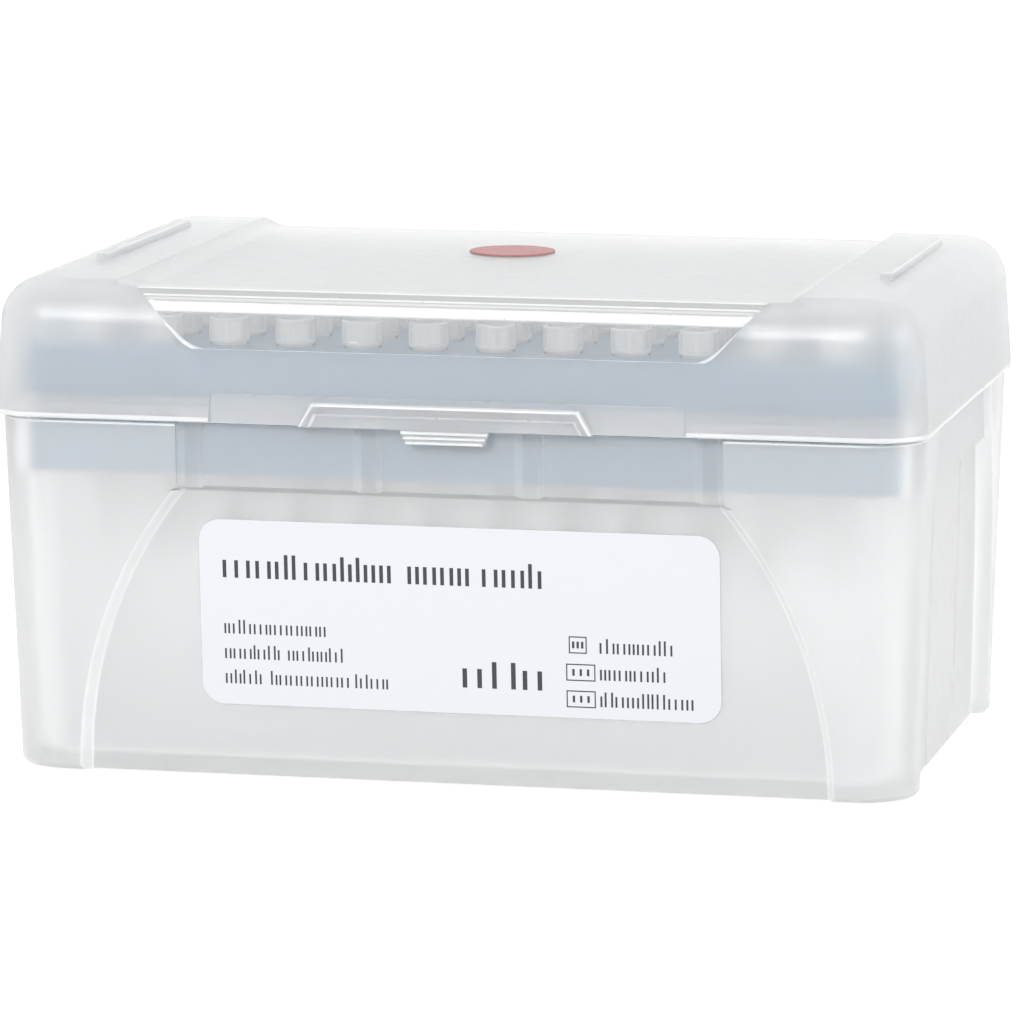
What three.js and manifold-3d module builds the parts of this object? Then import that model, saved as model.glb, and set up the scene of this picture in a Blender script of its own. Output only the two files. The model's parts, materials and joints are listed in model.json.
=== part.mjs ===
// A box of pipette tips: a hinged lid over a base, a tray of ninety-six filter tips, a label and a dot.
// Millimetres. +Z is up, +X is right, -Y is the front, and the origin is the middle of the base's underside.
import * as THREE from 'three';
import { mergeVertices } from 'three/addons/utils/BufferGeometryUtils.js';
import Module from 'manifold-3d';

const wasm = await Module();
wasm.setup();

// Tips hang in a grid at the standard spacing of laboratory plates.
const PITCH = 9;
const COLUMNS = 12;
const ROWS = 8;
const SIDE_MARGIN = 13;
const FRONT_MARGIN = 10.5;

// Base: it follows the lid's outline and narrows towards its feet.
const BASE_HEIGHT = 47.4;
const BASE_SET_BACK = 0.8;
const BASE_CORNER = 7.5;
const BASE_SIDE_DRAFT = 1.1;
const BASE_FRONT_DRAFT = 3.3;
const BASE_WALL = 1.4;
const BASE_FLOOR = 2;
const BASE_INNER_CORNER = 5.1;
const FOOT_ROUNDING = 1;
const NECK_HEIGHT = 3.2;
const NECK_WALL = 1.5;
const NECK_CLEARANCE = 0.4;
const LEDGE_DROP = 7.3;

// Arched panel set into the base's front and back, and the label on the front one.
const ARCH_DROP = 1.8;
const ARCH_RADIUS = 60;
const ARCH_FOOT_MARGIN = 13;
const ARCH_DEPTH_TOP = 1.4;
const ARCH_DEPTH_FOOT = 2;
const ARCH_BEVEL = 1.3;
const LABEL_MARGIN = 3.55;
const LABEL_BOTTOM_Z = 9.5;
const LABEL_TOP_DROP = 3.6;
const LABEL_CORNER = 3;
const LABEL_X = 0.8;
const STICKER_THICKNESS = 0.15;
const GLUE_GAP = 0.1;

// Band above the arched panel, with three pads that stand out of it and a ridge for the latch.
const BAND_DEPTH = 1.5;
const PAD_PROUD = 0.6;
const PAD_MIDDLE_HALF = 9.7;
const PAD_GROOVE = 2.2;
const PAD_CORNER = 1.2;
const CATCH_HALF = 4.5;
const CATCH_DROP = 0.4;
const CATCH_HEIGHT = 0.8;
const CATCH_PROUD = 0.3;

// Panel set into each end of the base: its edges lean in towards the rim, and it is shallow beside the tray.
const SIDE_DROP = 1.3;
const SIDE_DEPTH = 2.3;
const SIDE_BAND_DEPTH = 1;
const SIDE_HALF = 28.4;
const SIDE_LEAN = 7.2;
const SIDE_GROOVE_Y = 11.3;
const SIDE_GROOVE_HALF = 0.7;
const SIDE_GROOVE_DEPTH = 0.4;

// Tray, which stands on the ledge inside the base.
const TRAY_RISE = 9.6;
const TRAY_PLATE = 1.4;
const TRAY_SKIRT = 1.2;
const TRAY_CLEARANCE = 0.4;
const TRAY_REST_GAP = 0.3;
const HOLE_CLEARANCE = 0.3;

// Tips, which hang by their collars, and the filter in each.
const TIP_LENGTH = 33;
const COLLAR_PROUD = 0.4;
const COLLAR_HEIGHT = 3.2;
const COLLAR_REST_GAP = 0.3;
const BARREL_RADIUS = 2.3;
const BARREL_TAPER = 0.4;
const TIP_WALL = 0.35;
const POINT_RADIUS = 0.5;
const POINT_BORE = 0.25;
const SHOULDER_DEPTH = 14.5;
const FILTER_DEPTH = 7;
const FILTER_LENGTH = 3.5;
const FILTER_CLEARANCE = 0.08;
const ROW_LINK_HALF = 0.5;
const ROW_LINK_BITE = 0.5;

// Lid: its rim stands just clear of the base's shoulder.
const LID_WALL = 1.4;
const LID_CORNER = 7;
const LID_RIM_GAP = 0.3;
const LID_HEADROOM = 2.4;
const LID_SIDE_DRAFT = 1.2;
const LID_FRONT_DRAFT = 0.6;
const LID_FRONT_FILLET = 5.5;
const LID_BACK_FILLET = 3;

// Raised blocks at the lid's two ends, and the stacking ribs on them.
const BLOCK_WIDTH = 17.7;
const BLOCK_SLOPE = 2.4;
const BLOCK_RISE = 1.4;
const RIB_MARGIN = 9.1;
const RIB_Y = 4.5;
const RIB_HALF_LENGTH = 21.2;
const RIB_HALF_WIDTH = 0.9;
const RIB_TOP_HALF_WIDTH = 0.6;
const RIB_HEIGHT = 1;
const RIB_PLAY = 0.5;

// Clear window in the lid's top front edge, with slanting ends.
const WINDOW_BLOCK_GAP = 3.7;
const WINDOW_SLANT = 7;
const WINDOW_SILL = 0.4;
const WINDOW_CORNER = 1;
const WINDOW_RECESS = 0.9;
const WINDOW_BAND_DROP = 0.9;
const WINDOW_BAND_HEIGHT = 1.2;
const WINDOW_BAND_DEPTH = 0.9;
const WINDOW_STEP = 0.2;
const WINDOW_WALL = 1.3;
const WINDOW_PAD = 2.3;

// Low lip along the middle panel's front, over the window.
const LIP_HEIGHT = 0.9;
const LIP_WIDTH = 7.5;
const LIP_RAMP = 3.5;
const LIP_EDGE = 0.5;

// Latch on the lid's front: a shallow field, a tongue with a step, and a thumb tab below the rim.
const LATCH_FIELD_HALF = 31.5;
const LATCH_FIELD_HEIGHT = 3.8;
const LATCH_FIELD_RECESS = 0.3;
const TONGUE_TOP_HALF = 17.8;
const TONGUE_BOTTOM_HALF = 19.5;
const TONGUE_HEIGHT = 3.1;
const TONGUE_PROUD = 0.9;
const TONGUE_STEP_HEIGHT = 1.5;
const TONGUE_STEP_INSET = 1.6;
const TONGUE_STEP_DEPTH = 0.4;
const TAB_TOP_HALF = 6.1;
const TAB_BOTTOM_HALF = 5.1;
const TAB_DROP = 1.9;
const TAB_THICKNESS = 1.5;
const TAB_RIDGE = 0.3;
const TAB_RIDGES = 3;

// Hinge behind the rim: ears on the base, and knuckles with stub pins on the lid.
const HINGE_DROP = 2.5;
const HINGE_MARGIN = 30.5;
const HINGE_OPENING = 110;
const EAR_WALL = 1.1;
const EAR_THICKNESS = 2.4;
const EAR_SPACING = 8;
const EAR_ROOT = 7;
const PIN_RADIUS = 1.2;
const PIN_CLEARANCE = 0.3;
const KNUCKLE_WALL = 1;
const KNUCKLE_BACK_GAP = 0.2;
const KNUCKLE_SIDE_GAP = 0.35;
const ARM_THICKNESS = 3;
const ARM_RISE = 6;
const HEEL_GAP = 0.1;
const HEEL_THICKNESS = 1.4;
const HEEL_ANGLE = -35;

// Indicator dot stuck on the lid.
const DOT_RADIUS = 5.9;
const DOT_X = -4.2;
const DOT_Y = 16.5;

// How finely round shapes are divided.
const CORNER_STEPS = 6;
const FILLET_STEPS = 5;
const FOOT_STEPS = 3;
const ARCH_STEPS = 8;
const TIP_SIDES = 8;
const ROW_TIP_SIDES = 6;
const HOLE_SIDES = 6;
const PIN_SIDES = 16;
const DOT_SIDES = 32;

// How far a cutting shape runs past the surface that it opens.
const PAST = 1;
const FAR = 10;

const LID_WIDTH = (COLUMNS - 1) * PITCH + 2 * SIDE_MARGIN;
const LID_DEPTH = (ROWS - 1) * PITCH + 2 * FRONT_MARGIN;
const LEDGE_Z = BASE_HEIGHT - LEDGE_DROP;
const ARCH_TOP_Z = LEDGE_Z - ARCH_DROP;
const LABEL_HEIGHT = ARCH_TOP_Z - LABEL_TOP_DROP - LABEL_BOTTOM_Z;
const SIDE_TOP_Z = LEDGE_Z - SIDE_DROP;
const NECK_HALF_WIDTH = LID_WIDTH / 2 - LID_WALL - NECK_CLEARANCE;
const NECK_HALF_DEPTH = LID_DEPTH / 2 - LID_WALL - NECK_CLEARANCE;
const TRAY_HALF_WIDTH = NECK_HALF_WIDTH - NECK_WALL - TRAY_CLEARANCE;
const TRAY_HALF_DEPTH = NECK_HALF_DEPTH - NECK_WALL - TRAY_CLEARANCE;
const TRAY_TOP_Z = BASE_HEIGHT + TRAY_RISE;
const TIP_TOP_Z = TRAY_TOP_Z + COLLAR_REST_GAP + COLLAR_HEIGHT;
const COLLAR_RADIUS = BARREL_RADIUS + COLLAR_PROUD;
const SHOULDER_RADIUS = BARREL_RADIUS - BARREL_TAPER;
const MOUTH_RADIUS = BARREL_RADIUS - TIP_WALL;
const SHOULDER_BORE = SHOULDER_RADIUS - TIP_WALL;
const LID_RIM_Z = BASE_HEIGHT + LID_RIM_GAP;
const LID_PANEL_Z = TIP_TOP_Z + LID_HEADROOM + LID_WALL;
const LID_BLOCK_Z = LID_PANEL_Z + BLOCK_RISE;
const LID_FRONT_Y = -LID_DEPTH / 2;
const BLOCK_INNER_X = LID_WIDTH / 2 - BLOCK_WIDTH;
const RIB_X = LID_WIDTH / 2 - RIB_MARGIN;
const WINDOW_TOP_HALF = BLOCK_INNER_X - WINDOW_BLOCK_GAP;
const WINDOW_BOTTOM_HALF = WINDOW_TOP_HALF - WINDOW_SLANT;
const WINDOW_BOTTOM_Z = TRAY_TOP_Z + WINDOW_SILL;
const WINDOW_BAND_TOP_Z = LID_PANEL_Z - WINDOW_BAND_DROP;
const LIP_FRONT_Y = LID_FRONT_Y + WINDOW_RECESS + WINDOW_BAND_DEPTH + WINDOW_STEP;
const HINGE_X = LID_WIDTH / 2 - HINGE_MARGIN;
const EAR_RADIUS = PIN_RADIUS + PIN_CLEARANCE + EAR_WALL;
const KNUCKLE_RADIUS = PIN_RADIUS + KNUCKLE_WALL;
const HINGE_Y = LID_DEPTH / 2 - BASE_SET_BACK + KNUCKLE_BACK_GAP + KNUCKLE_RADIUS;
const HINGE_Z = LID_RIM_Z - HINGE_DROP;

const frosted = new THREE.MeshStandardMaterial({ color: '#e6e9ec', roughness: 0.45, metalness: 0 });
const trayBlue = new THREE.MeshStandardMaterial({ color: '#6f9fbd', roughness: 0.4, metalness: 0 });
const clearTip = new THREE.MeshStandardMaterial({ color: '#dfe3e4', roughness: 0.15, metalness: 0 });
const porous = new THREE.MeshStandardMaterial({ color: '#f4f4f0', roughness: 0.9, metalness: 0 });
const paper = new THREE.MeshStandardMaterial({ color: '#f7f8fb', roughness: 0.7, metalness: 0 });
const dotRed = new THREE.MeshStandardMaterial({ color: '#d9888a', roughness: 0.4, metalness: 0 });

// ---- Shape helpers ----

function roundedLoop(left, right, front, back, radius, z) {
  const corners = [
    [right - radius, back - radius, 0],
    [left + radius, back - radius, 90],
    [left + radius, front + radius, 180],
    [right - radius, front + radius, 270],
  ];
  const loop = [];
  for (const [x, y, start] of corners) {
    for (let i = 0; i <= CORNER_STEPS; i += 1) {
      const angle = THREE.MathUtils.degToRad(start + (90 * i) / CORNER_STEPS);
      loop.push(new THREE.Vector3(x + radius * Math.cos(angle), y + radius * Math.sin(angle), z));
    }
  }
  return loop;
}

// Skins a stack of convex loops with equal numbers of points, and closes both ends.
function loft(loops) {
  const count = loops[0].length;
  const last = (loops.length - 1) * count;
  const index = [];
  for (let start = 0; start < last; start += count) {
    for (let i = 0; i < count; i += 1) {
      const a = start + i;
      const b = start + ((i + 1) % count);
      index.push(a, b, b + count, a, b + count, a + count);
    }
  }
  for (let i = 1; i < count - 1; i += 1) {
    index.push(0, i + 1, i, last, last + i, last + i + 1);
  }
  const geometry = new THREE.BufferGeometry().setFromPoints(loops.flat());
  geometry.setIndex(index);
  return geometry;
}

function toSolid(geometry) {
  const bare = geometry.clone();
  bare.deleteAttribute('normal');
  bare.deleteAttribute('uv');
  const merged = mergeVertices(bare);
  return new wasm.Manifold(new wasm.Mesh({
    numProp: 3,
    vertProperties: new Float32Array(merged.attributes.position.array),
    triVerts: new Uint32Array(merged.index.array),
  }));
}

function toGeometry(solid) {
  const mesh = solid.getMesh();
  const geometry = new THREE.BufferGeometry();
  geometry.setAttribute('position', new THREE.BufferAttribute(new Float32Array(mesh.vertProperties), 3));
  geometry.setIndex(new THREE.BufferAttribute(new Uint32Array(mesh.triVerts), 1));
  geometry.computeVertexNormals();
  return geometry;
}

function box(left, right, front, back, bottom, top) {
  const geometry = new THREE.BoxGeometry(right - left, back - front, top - bottom);
  geometry.translate((left + right) / 2, (front + back) / 2, (bottom + top) / 2);
  return toSolid(geometry);
}

function extrude(outline, length, axes, offset) {
  const shape = new THREE.Shape(outline.map(([u, v]) => new THREE.Vector2(u, v)));
  const geometry = new THREE.ExtrudeGeometry(shape, { depth: length, bevelEnabled: false });
  geometry.applyMatrix4(new THREE.Matrix4().makeBasis(...axes).setPosition(offset));
  return toSolid(geometry);
}

// Extrudes an outline of [y, z] points along X.
function alongX(outline, left, right) {
  const axes = [new THREE.Vector3(0, 1, 0), new THREE.Vector3(0, 0, 1), new THREE.Vector3(1, 0, 0)];
  return extrude(outline, right - left, axes, new THREE.Vector3(left, 0, 0));
}

// Extrudes an outline of [x, z] points along Y.
function alongY(outline, front, back) {
  const axes = [new THREE.Vector3(1, 0, 0), new THREE.Vector3(0, 0, 1), new THREE.Vector3(0, -1, 0)];
  return extrude(outline, back - front, axes, new THREE.Vector3(0, back, 0));
}

function rodAlongX(y, z, radius, left, right) {
  const geometry = new THREE.CylinderGeometry(radius, radius, right - left, PIN_SIDES);
  geometry.rotateZ(Math.PI / 2);
  geometry.translate((left + right) / 2, y, z);
  return toSolid(geometry);
}

// The radius that a ring of flat sides needs so that its flats clear the given radius.
function clearOf(radius, sides) {
  return radius / Math.cos(Math.PI / sides);
}

function mirrorX(outline) {
  return outline.map(([x, z]) => [-x, z]).reverse();
}

// An outline that is the same on both sides, from its right half listed bottom to top.
function symmetric(rightHalf) {
  return [...rightHalf, ...mirrorX(rightHalf)];
}

// ---- Lid ----

// How far a rounded top edge has drawn in at height z.
function filletInset(z, top, radius) {
  const rise = z - (top - radius);
  return rise > 0 ? radius - Math.sqrt(Math.max(radius * radius - rise * rise, 0)) : 0;
}

// The lid's outline at height z, moved in by a wall.
function lidLoop(z, wall) {
  const top = LID_BLOCK_Z - wall;
  const share = (z - LID_RIM_Z) / (LID_BLOCK_Z - LID_RIM_Z);
  const front = filletInset(z, top, LID_FRONT_FILLET - wall);
  const back = filletInset(z, top, LID_BACK_FILLET - wall);
  const halfWidth = LID_WIDTH / 2 - wall - LID_SIDE_DRAFT * share - front;
  const halfDepth = LID_DEPTH / 2 - wall - LID_FRONT_DRAFT * share;
  return roundedLoop(-halfWidth, halfWidth, front - halfDepth, halfDepth - back, LID_CORNER - wall - front, z);
}

function lidBody(wall, bottom) {
  const radius = LID_FRONT_FILLET - wall;
  const loops = [lidLoop(bottom, wall)];
  for (let i = 0; i <= FILLET_STEPS; i += 1) {
    const angle = (Math.PI / 2) * (i / FILLET_STEPS);
    loops.push(lidLoop(LID_BLOCK_Z - wall - radius + radius * Math.sin(angle), wall));
  }
  return toSolid(loft(loops));
}

// The space over the middle panel, between the slopes of the two end blocks.
function overMiddle(floor, widening) {
  const bottom = BLOCK_INNER_X - BLOCK_SLOPE + widening;
  const top = bottom + (BLOCK_SLOPE * FAR) / BLOCK_RISE;
  return alongY(symmetric([[bottom, floor], [top, floor + FAR]]), -LID_DEPTH, LID_DEPTH);
}

// The lip along the middle panel's front.
function panelLip() {
  const back = LIP_FRONT_Y + LIP_WIDTH;
  const top = LID_PANEL_Z + LIP_HEIGHT;
  return alongX([
    [LIP_FRONT_Y, LID_PANEL_Z - PAST],
    [back, LID_PANEL_Z - PAST],
    [back, LID_PANEL_Z],
    [back - LIP_RAMP, top],
    [LIP_FRONT_Y + LIP_EDGE, top],
    [LIP_FRONT_Y, top - LIP_EDGE],
  ], -LID_WIDTH, LID_WIDTH);
}

// The window's face and the slanting band over it, from bottom to top, moved back by a wall.
function windowFace(bottom, wall) {
  const face = LID_FRONT_Y + WINDOW_RECESS + wall;
  return [
    [face, bottom],
    [face, WINDOW_BAND_TOP_Z - WINDOW_BAND_HEIGHT],
    [face + WINDOW_BAND_DEPTH, WINDOW_BAND_TOP_Z],
  ];
}

// The window's front outline, which slants out as far as the lip's top.
function windowOutline() {
  const slope = WINDOW_SLANT / (LID_PANEL_Z - WINDOW_BOTTOM_Z);
  const lipHalf = WINDOW_TOP_HALF + slope * LIP_HEIGHT;
  return symmetric([
    [WINDOW_BOTTOM_HALF - WINDOW_CORNER, WINDOW_BOTTOM_Z],
    [WINDOW_BOTTOM_HALF + slope * WINDOW_CORNER, WINDOW_BOTTOM_Z + WINDOW_CORNER],
    [lipHalf, LID_PANEL_Z + LIP_HEIGHT],
    [lipHalf, LID_BLOCK_Z + FAR],
  ]);
}

// The part of the lip that stands out of the lid's rounded front over the window.
function windowBrow() {
  return panelLip().intersect(alongY(windowOutline(), -LID_DEPTH, 0));
}

// The space in front of the window, as far as its slanting ends.
function windowRecess() {
  const far = LID_FRONT_Y - FAR;
  const high = LID_BLOCK_Z + FAR;
  const profile = [
    [far, high],
    [far, WINDOW_BOTTOM_Z],
    ...windowFace(WINDOW_BOTTOM_Z, 0),
    [LIP_FRONT_Y, WINDOW_BAND_TOP_Z],
    [LIP_FRONT_Y, high],
  ];
  return alongX(profile, -LID_WIDTH, LID_WIDTH).intersect(alongY(windowOutline(), -LID_DEPTH, 0));
}

// What the hollow leaves standing behind the window, so that its wall keeps its thickness.
function windowBacking() {
  const half = WINDOW_TOP_HALF + WINDOW_PAD;
  const face = windowFace(WINDOW_BOTTOM_Z - WINDOW_PAD, WINDOW_WALL);
  const back = face[face.length - 1][0];
  return alongX([
    [-LID_DEPTH, WINDOW_BOTTOM_Z - WINDOW_PAD],
    ...face,
    [back, LID_BLOCK_Z],
    [-LID_DEPTH, LID_BLOCK_Z],
  ], -half, half);
}

function lidHollow() {
  return lidBody(LID_WALL, LID_RIM_Z - PAST)
    .subtract(overMiddle(LID_PANEL_Z - LID_WALL, LID_WALL / 2))
    .subtract(windowBacking());
}

function latchField() {
  const back = LID_FRONT_Y + LATCH_FIELD_RECESS;
  const top = LID_RIM_Z + LATCH_FIELD_HEIGHT;
  return box(-LATCH_FIELD_HALF, LATCH_FIELD_HALF, -LID_DEPTH, back, LID_RIM_Z - PAST, top);
}

function latchTongue() {
  const face = LID_FRONT_Y - TONGUE_PROUD;
  const outline = [[TONGUE_BOTTOM_HALF, LID_RIM_Z], [TONGUE_TOP_HALF, LID_RIM_Z + TONGUE_HEIGHT]];
  const stepHalf = TONGUE_BOTTOM_HALF - TONGUE_STEP_INSET;
  const stepBack = face + TONGUE_STEP_DEPTH;
  const stepTop = LID_RIM_Z + TONGUE_STEP_HEIGHT;
  return alongY(symmetric(outline), face, LID_FRONT_Y + LID_WALL / 2)
    .subtract(box(-stepHalf, stepHalf, -LID_DEPTH, stepBack, LID_RIM_Z - PAST, stepTop));
}

// The thumb tab under the tongue, with level ridges for grip.
function latchTab() {
  const face = LID_FRONT_Y - TONGUE_PROUD + TONGUE_STEP_DEPTH;
  const bottom = LID_RIM_Z - TAB_DROP;
  const outline = [[TAB_BOTTOM_HALF, bottom], [TAB_TOP_HALF, LID_RIM_Z + PAST]];
  let tab = alongY(symmetric(outline), face, face + TAB_THICKNESS);
  const spacing = TAB_DROP / TAB_RIDGES;
  for (let i = 0; i < TAB_RIDGES; i += 1) {
    const z = bottom + spacing * i;
    const back = face + TAB_RIDGE;
    tab = tab.add(box(-TAB_BOTTOM_HALF, TAB_BOTTOM_HALF, face - TAB_RIDGE, back, z, z + spacing / 2));
  }
  return tab;
}

// One rib of the pair that keeps a stacked box in place, with drawn-in ends.
function stackingRib(side) {
  const level = (halfWidth, end, z) => roundedLoop(
    side * RIB_X - halfWidth,
    side * RIB_X + halfWidth,
    RIB_Y - RIB_HALF_LENGTH + end,
    RIB_Y + RIB_HALF_LENGTH - end,
    RIB_TOP_HALF_WIDTH,
    z,
  );
  return toSolid(loft([
    level(RIB_HALF_WIDTH, 0, LID_BLOCK_Z - LID_WALL / 2),
    level(RIB_HALF_WIDTH, 0, LID_BLOCK_Z),
    level(RIB_TOP_HALF_WIDTH, RIB_HEIGHT, LID_BLOCK_Z + RIB_HEIGHT),
  ]));
}

// The heel's length: its upper corner comes just clear of the base's back when the lid is fully open.
function heelReach() {
  const open = THREE.MathUtils.degToRad(HINGE_OPENING - HEEL_ANGLE);
  const room = HINGE_Y - baseHalfDepth(HINGE_Z) - HEEL_GAP;
  return (room - Math.abs(Math.sin(open)) * (HEEL_THICKNESS / 2)) / Math.abs(Math.cos(open));
}

// A knuckle with its arm up the lid's back, its stub pins, and the heel that stops it when open.
function lidKnuckle(x) {
  const half = EAR_SPACING / 2 - KNUCKLE_SIDE_GAP;
  const pinHalf = EAR_SPACING / 2 + EAR_THICKNESS;
  const skin = LID_DEPTH / 2 - LID_WALL / 2;
  const front = LID_DEPTH / 2 - BASE_SET_BACK / 2;
  const arm = alongX([
    [front, HINGE_Z],
    [front + ARM_THICKNESS, HINGE_Z],
    [front + ARM_THICKNESS, LID_RIM_Z],
    [skin, LID_RIM_Z + ARM_RISE],
    [skin, LID_RIM_Z],
    [front, LID_RIM_Z],
  ], x - half, x + half);
  const reach = heelReach();
  const heel = new THREE.BoxGeometry(half * 2, reach, HEEL_THICKNESS);
  heel.translate(0, reach / 2, 0);
  heel.rotateX(THREE.MathUtils.degToRad(HEEL_ANGLE));
  heel.translate(x, HINGE_Y, HINGE_Z);
  return rodAlongX(HINGE_Y, HINGE_Z, KNUCKLE_RADIUS, x - half, x + half)
    .add(rodAlongX(HINGE_Y, HINGE_Z, PIN_RADIUS, x - pinHalf, x + pinHalf))
    .add(arm)
    .add(toSolid(heel));
}

function lid() {
  return lidBody(0, LID_RIM_Z)
    .subtract(overMiddle(LID_PANEL_Z, 0).subtract(panelLip()))
    .add(windowBrow())
    .subtract(windowRecess())
    .subtract(latchField())
    .add(latchTongue())
    .add(latchTab())
    .add(stackingRib(-1))
    .add(stackingRib(1))
    .add(lidKnuckle(-HINGE_X))
    .add(lidKnuckle(HINGE_X))
    .subtract(lidHollow());
}

// ---- Base ----

function baseHalfWidth(z) {
  return LID_WIDTH / 2 - BASE_SET_BACK - BASE_SIDE_DRAFT * (1 - z / BASE_HEIGHT);
}

function baseHalfDepth(z) {
  return LID_DEPTH / 2 - BASE_SET_BACK - BASE_FRONT_DRAFT * (1 - z / BASE_HEIGHT);
}

function archDepth(z) {
  return ARCH_DEPTH_FOOT + (ARCH_DEPTH_TOP - ARCH_DEPTH_FOOT) * (z / ARCH_TOP_Z);
}

// Half the arch's width at height z, grown by a bevel.
function archHalf(z, bevel) {
  const centre = LID_WIDTH / 2 - ARCH_FOOT_MARGIN - ARCH_RADIUS;
  return centre + Math.sqrt((ARCH_RADIUS + bevel) ** 2 - z * z);
}

function levelLoop(halfWidth, halfDepth, radius, z) {
  return roundedLoop(-halfWidth, halfWidth, -halfDepth, halfDepth, radius, z);
}

function baseOutside() {
  const loops = [];
  for (let i = 0; i <= FOOT_STEPS; i += 1) {
    const angle = (Math.PI / 2) * (i / FOOT_STEPS);
    const z = FOOT_ROUNDING * (1 - Math.cos(angle));
    const inset = FOOT_ROUNDING * (1 - Math.sin(angle));
    loops.push(levelLoop(baseHalfWidth(z) - inset, baseHalfDepth(z) - inset, BASE_CORNER - inset, z));
  }
  loops.push(levelLoop(baseHalfWidth(BASE_HEIGHT), baseHalfDepth(BASE_HEIGHT), BASE_CORNER, BASE_HEIGHT));
  const neckCorner = LID_CORNER - LID_WALL - NECK_CLEARANCE;
  const neck = [BASE_HEIGHT - PAST, BASE_HEIGHT + NECK_HEIGHT].map((z) => (
    levelLoop(NECK_HALF_WIDTH, NECK_HALF_DEPTH, neckCorner, z)
  ));
  return toSolid(loft(loops)).add(toSolid(loft(neck)));
}

function baseInside() {
  const lower = [BASE_FLOOR, LEDGE_Z].map((z) => levelLoop(
    baseHalfWidth(z) - SIDE_DEPTH - BASE_WALL,
    baseHalfDepth(z) - archDepth(z) - BASE_WALL,
    BASE_INNER_CORNER,
    z,
  ));
  const upper = [LEDGE_Z, BASE_HEIGHT + NECK_HEIGHT + PAST].map((z) => levelLoop(
    TRAY_HALF_WIDTH + TRAY_CLEARANCE,
    TRAY_HALF_DEPTH + TRAY_CLEARANCE,
    BASE_INNER_CORNER,
    z,
  ));
  return toSolid(loft(lower)).add(toSolid(loft(upper)));
}

// The arch's outline, grown by a bevel, as [x, z] points.
function archOutline(bevel) {
  const rightHalf = [[archHalf(0, bevel), -PAST]];
  for (let i = 0; i <= ARCH_STEPS; i += 1) {
    const z = ((ARCH_TOP_Z + bevel) * i) / ARCH_STEPS;
    rightHalf.push([archHalf(z, bevel), z]);
  }
  return symmetric(rightHalf);
}

// What is cut away in front of the arched panel.
function archRecess() {
  const place = (outline, y) => outline.map(([x, z]) => new THREE.Vector3(x, y(z), z));
  return toSolid(loft([
    place(archOutline(0), (z) => archDepth(z) - baseHalfDepth(z)),
    place(archOutline(ARCH_BEVEL), (z) => -baseHalfDepth(z)),
    place(archOutline(ARCH_BEVEL), () => -LID_DEPTH),
  ]));
}

// Half the end panel's width at height z.
function sideHalf(z) {
  return SIDE_HALF - SIDE_LEAN * Math.max(z / BASE_HEIGHT, 0) ** 3;
}

// The end panel's outline between two heights, grown by a bevel, as [y, z] points.
function sideOutline(bottom, top, bevel) {
  const rightHalf = [];
  for (let i = 0; i <= ARCH_STEPS; i += 1) {
    const z = bottom + ((top + bevel - bottom) * i) / ARCH_STEPS;
    rightHalf.push([sideHalf(z) + bevel, z]);
  }
  return symmetric(rightHalf);
}

// What is cut away beside the panel at the right-hand end.
function sideRecess() {
  const place = (bevel, x) => (
    sideOutline(-PAST, SIDE_TOP_Z, bevel).map(([y, z]) => new THREE.Vector3(x(z), y, z))
  );
  return toSolid(loft([
    place(0, (z) => baseHalfWidth(z) - SIDE_DEPTH),
    place(ARCH_BEVEL, baseHalfWidth),
    place(ARCH_BEVEL, () => LID_WIDTH),
  ]));
}

function sideBand() {
  const floor = baseHalfWidth(BASE_HEIGHT) - SIDE_BAND_DEPTH;
  return alongX(sideOutline(SIDE_TOP_Z, BASE_HEIGHT + PAST, 0), floor, LID_WIDTH);
}

// A shallow upright groove in the right-hand end panel.
function sideGroove(y) {
  const floor = (z) => baseHalfWidth(z) - SIDE_DEPTH - SIDE_GROOVE_DEPTH;
  return alongY([
    [floor(-PAST), -PAST],
    [LID_WIDTH, -PAST],
    [LID_WIDTH, SIDE_TOP_Z],
    [floor(SIDE_TOP_Z), SIDE_TOP_Z],
  ], y - SIDE_GROOVE_HALF, y + SIDE_GROOVE_HALF);
}

function endPanel() {
  return sideRecess().add(sideBand()).add(sideGroove(-SIDE_GROOVE_Y)).add(sideGroove(SIDE_GROOVE_Y));
}

function bandRecess() {
  const half = archHalf(ARCH_TOP_Z, 0);
  const floor = BAND_DEPTH - baseHalfDepth(BASE_HEIGHT);
  return box(-half, half, -LID_DEPTH, floor, ARCH_TOP_Z, BASE_HEIGHT + PAST);
}

function padFace() {
  return BAND_DEPTH - PAD_PROUD - baseHalfDepth(BASE_HEIGHT);
}

// A pad in the band, with its two lower corners cut off.
function pad(left, right) {
  return alongY([
    [left + PAD_CORNER, ARCH_TOP_Z],
    [right - PAD_CORNER, ARCH_TOP_Z],
    [right, ARCH_TOP_Z + PAD_CORNER],
    [right, BASE_HEIGHT],
    [left, BASE_HEIGHT],
    [left, ARCH_TOP_Z + PAD_CORNER],
  ], padFace(), padFace() + PAD_PROUD * 2);
}

function pads() {
  const outer = archHalf(ARCH_TOP_Z, 0) - PAD_GROOVE;
  const inner = PAD_MIDDLE_HALF + PAD_GROOVE;
  return pad(-PAD_MIDDLE_HALF, PAD_MIDDLE_HALF).add(pad(-outer, -inner)).add(pad(inner, outer));
}

function catchRidge() {
  const top = BASE_HEIGHT - CATCH_DROP;
  const front = padFace() - CATCH_PROUD;
  return box(-CATCH_HALF, CATCH_HALF, front, padFace() + PAD_PROUD, top - CATCH_HEIGHT, top);
}

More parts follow.
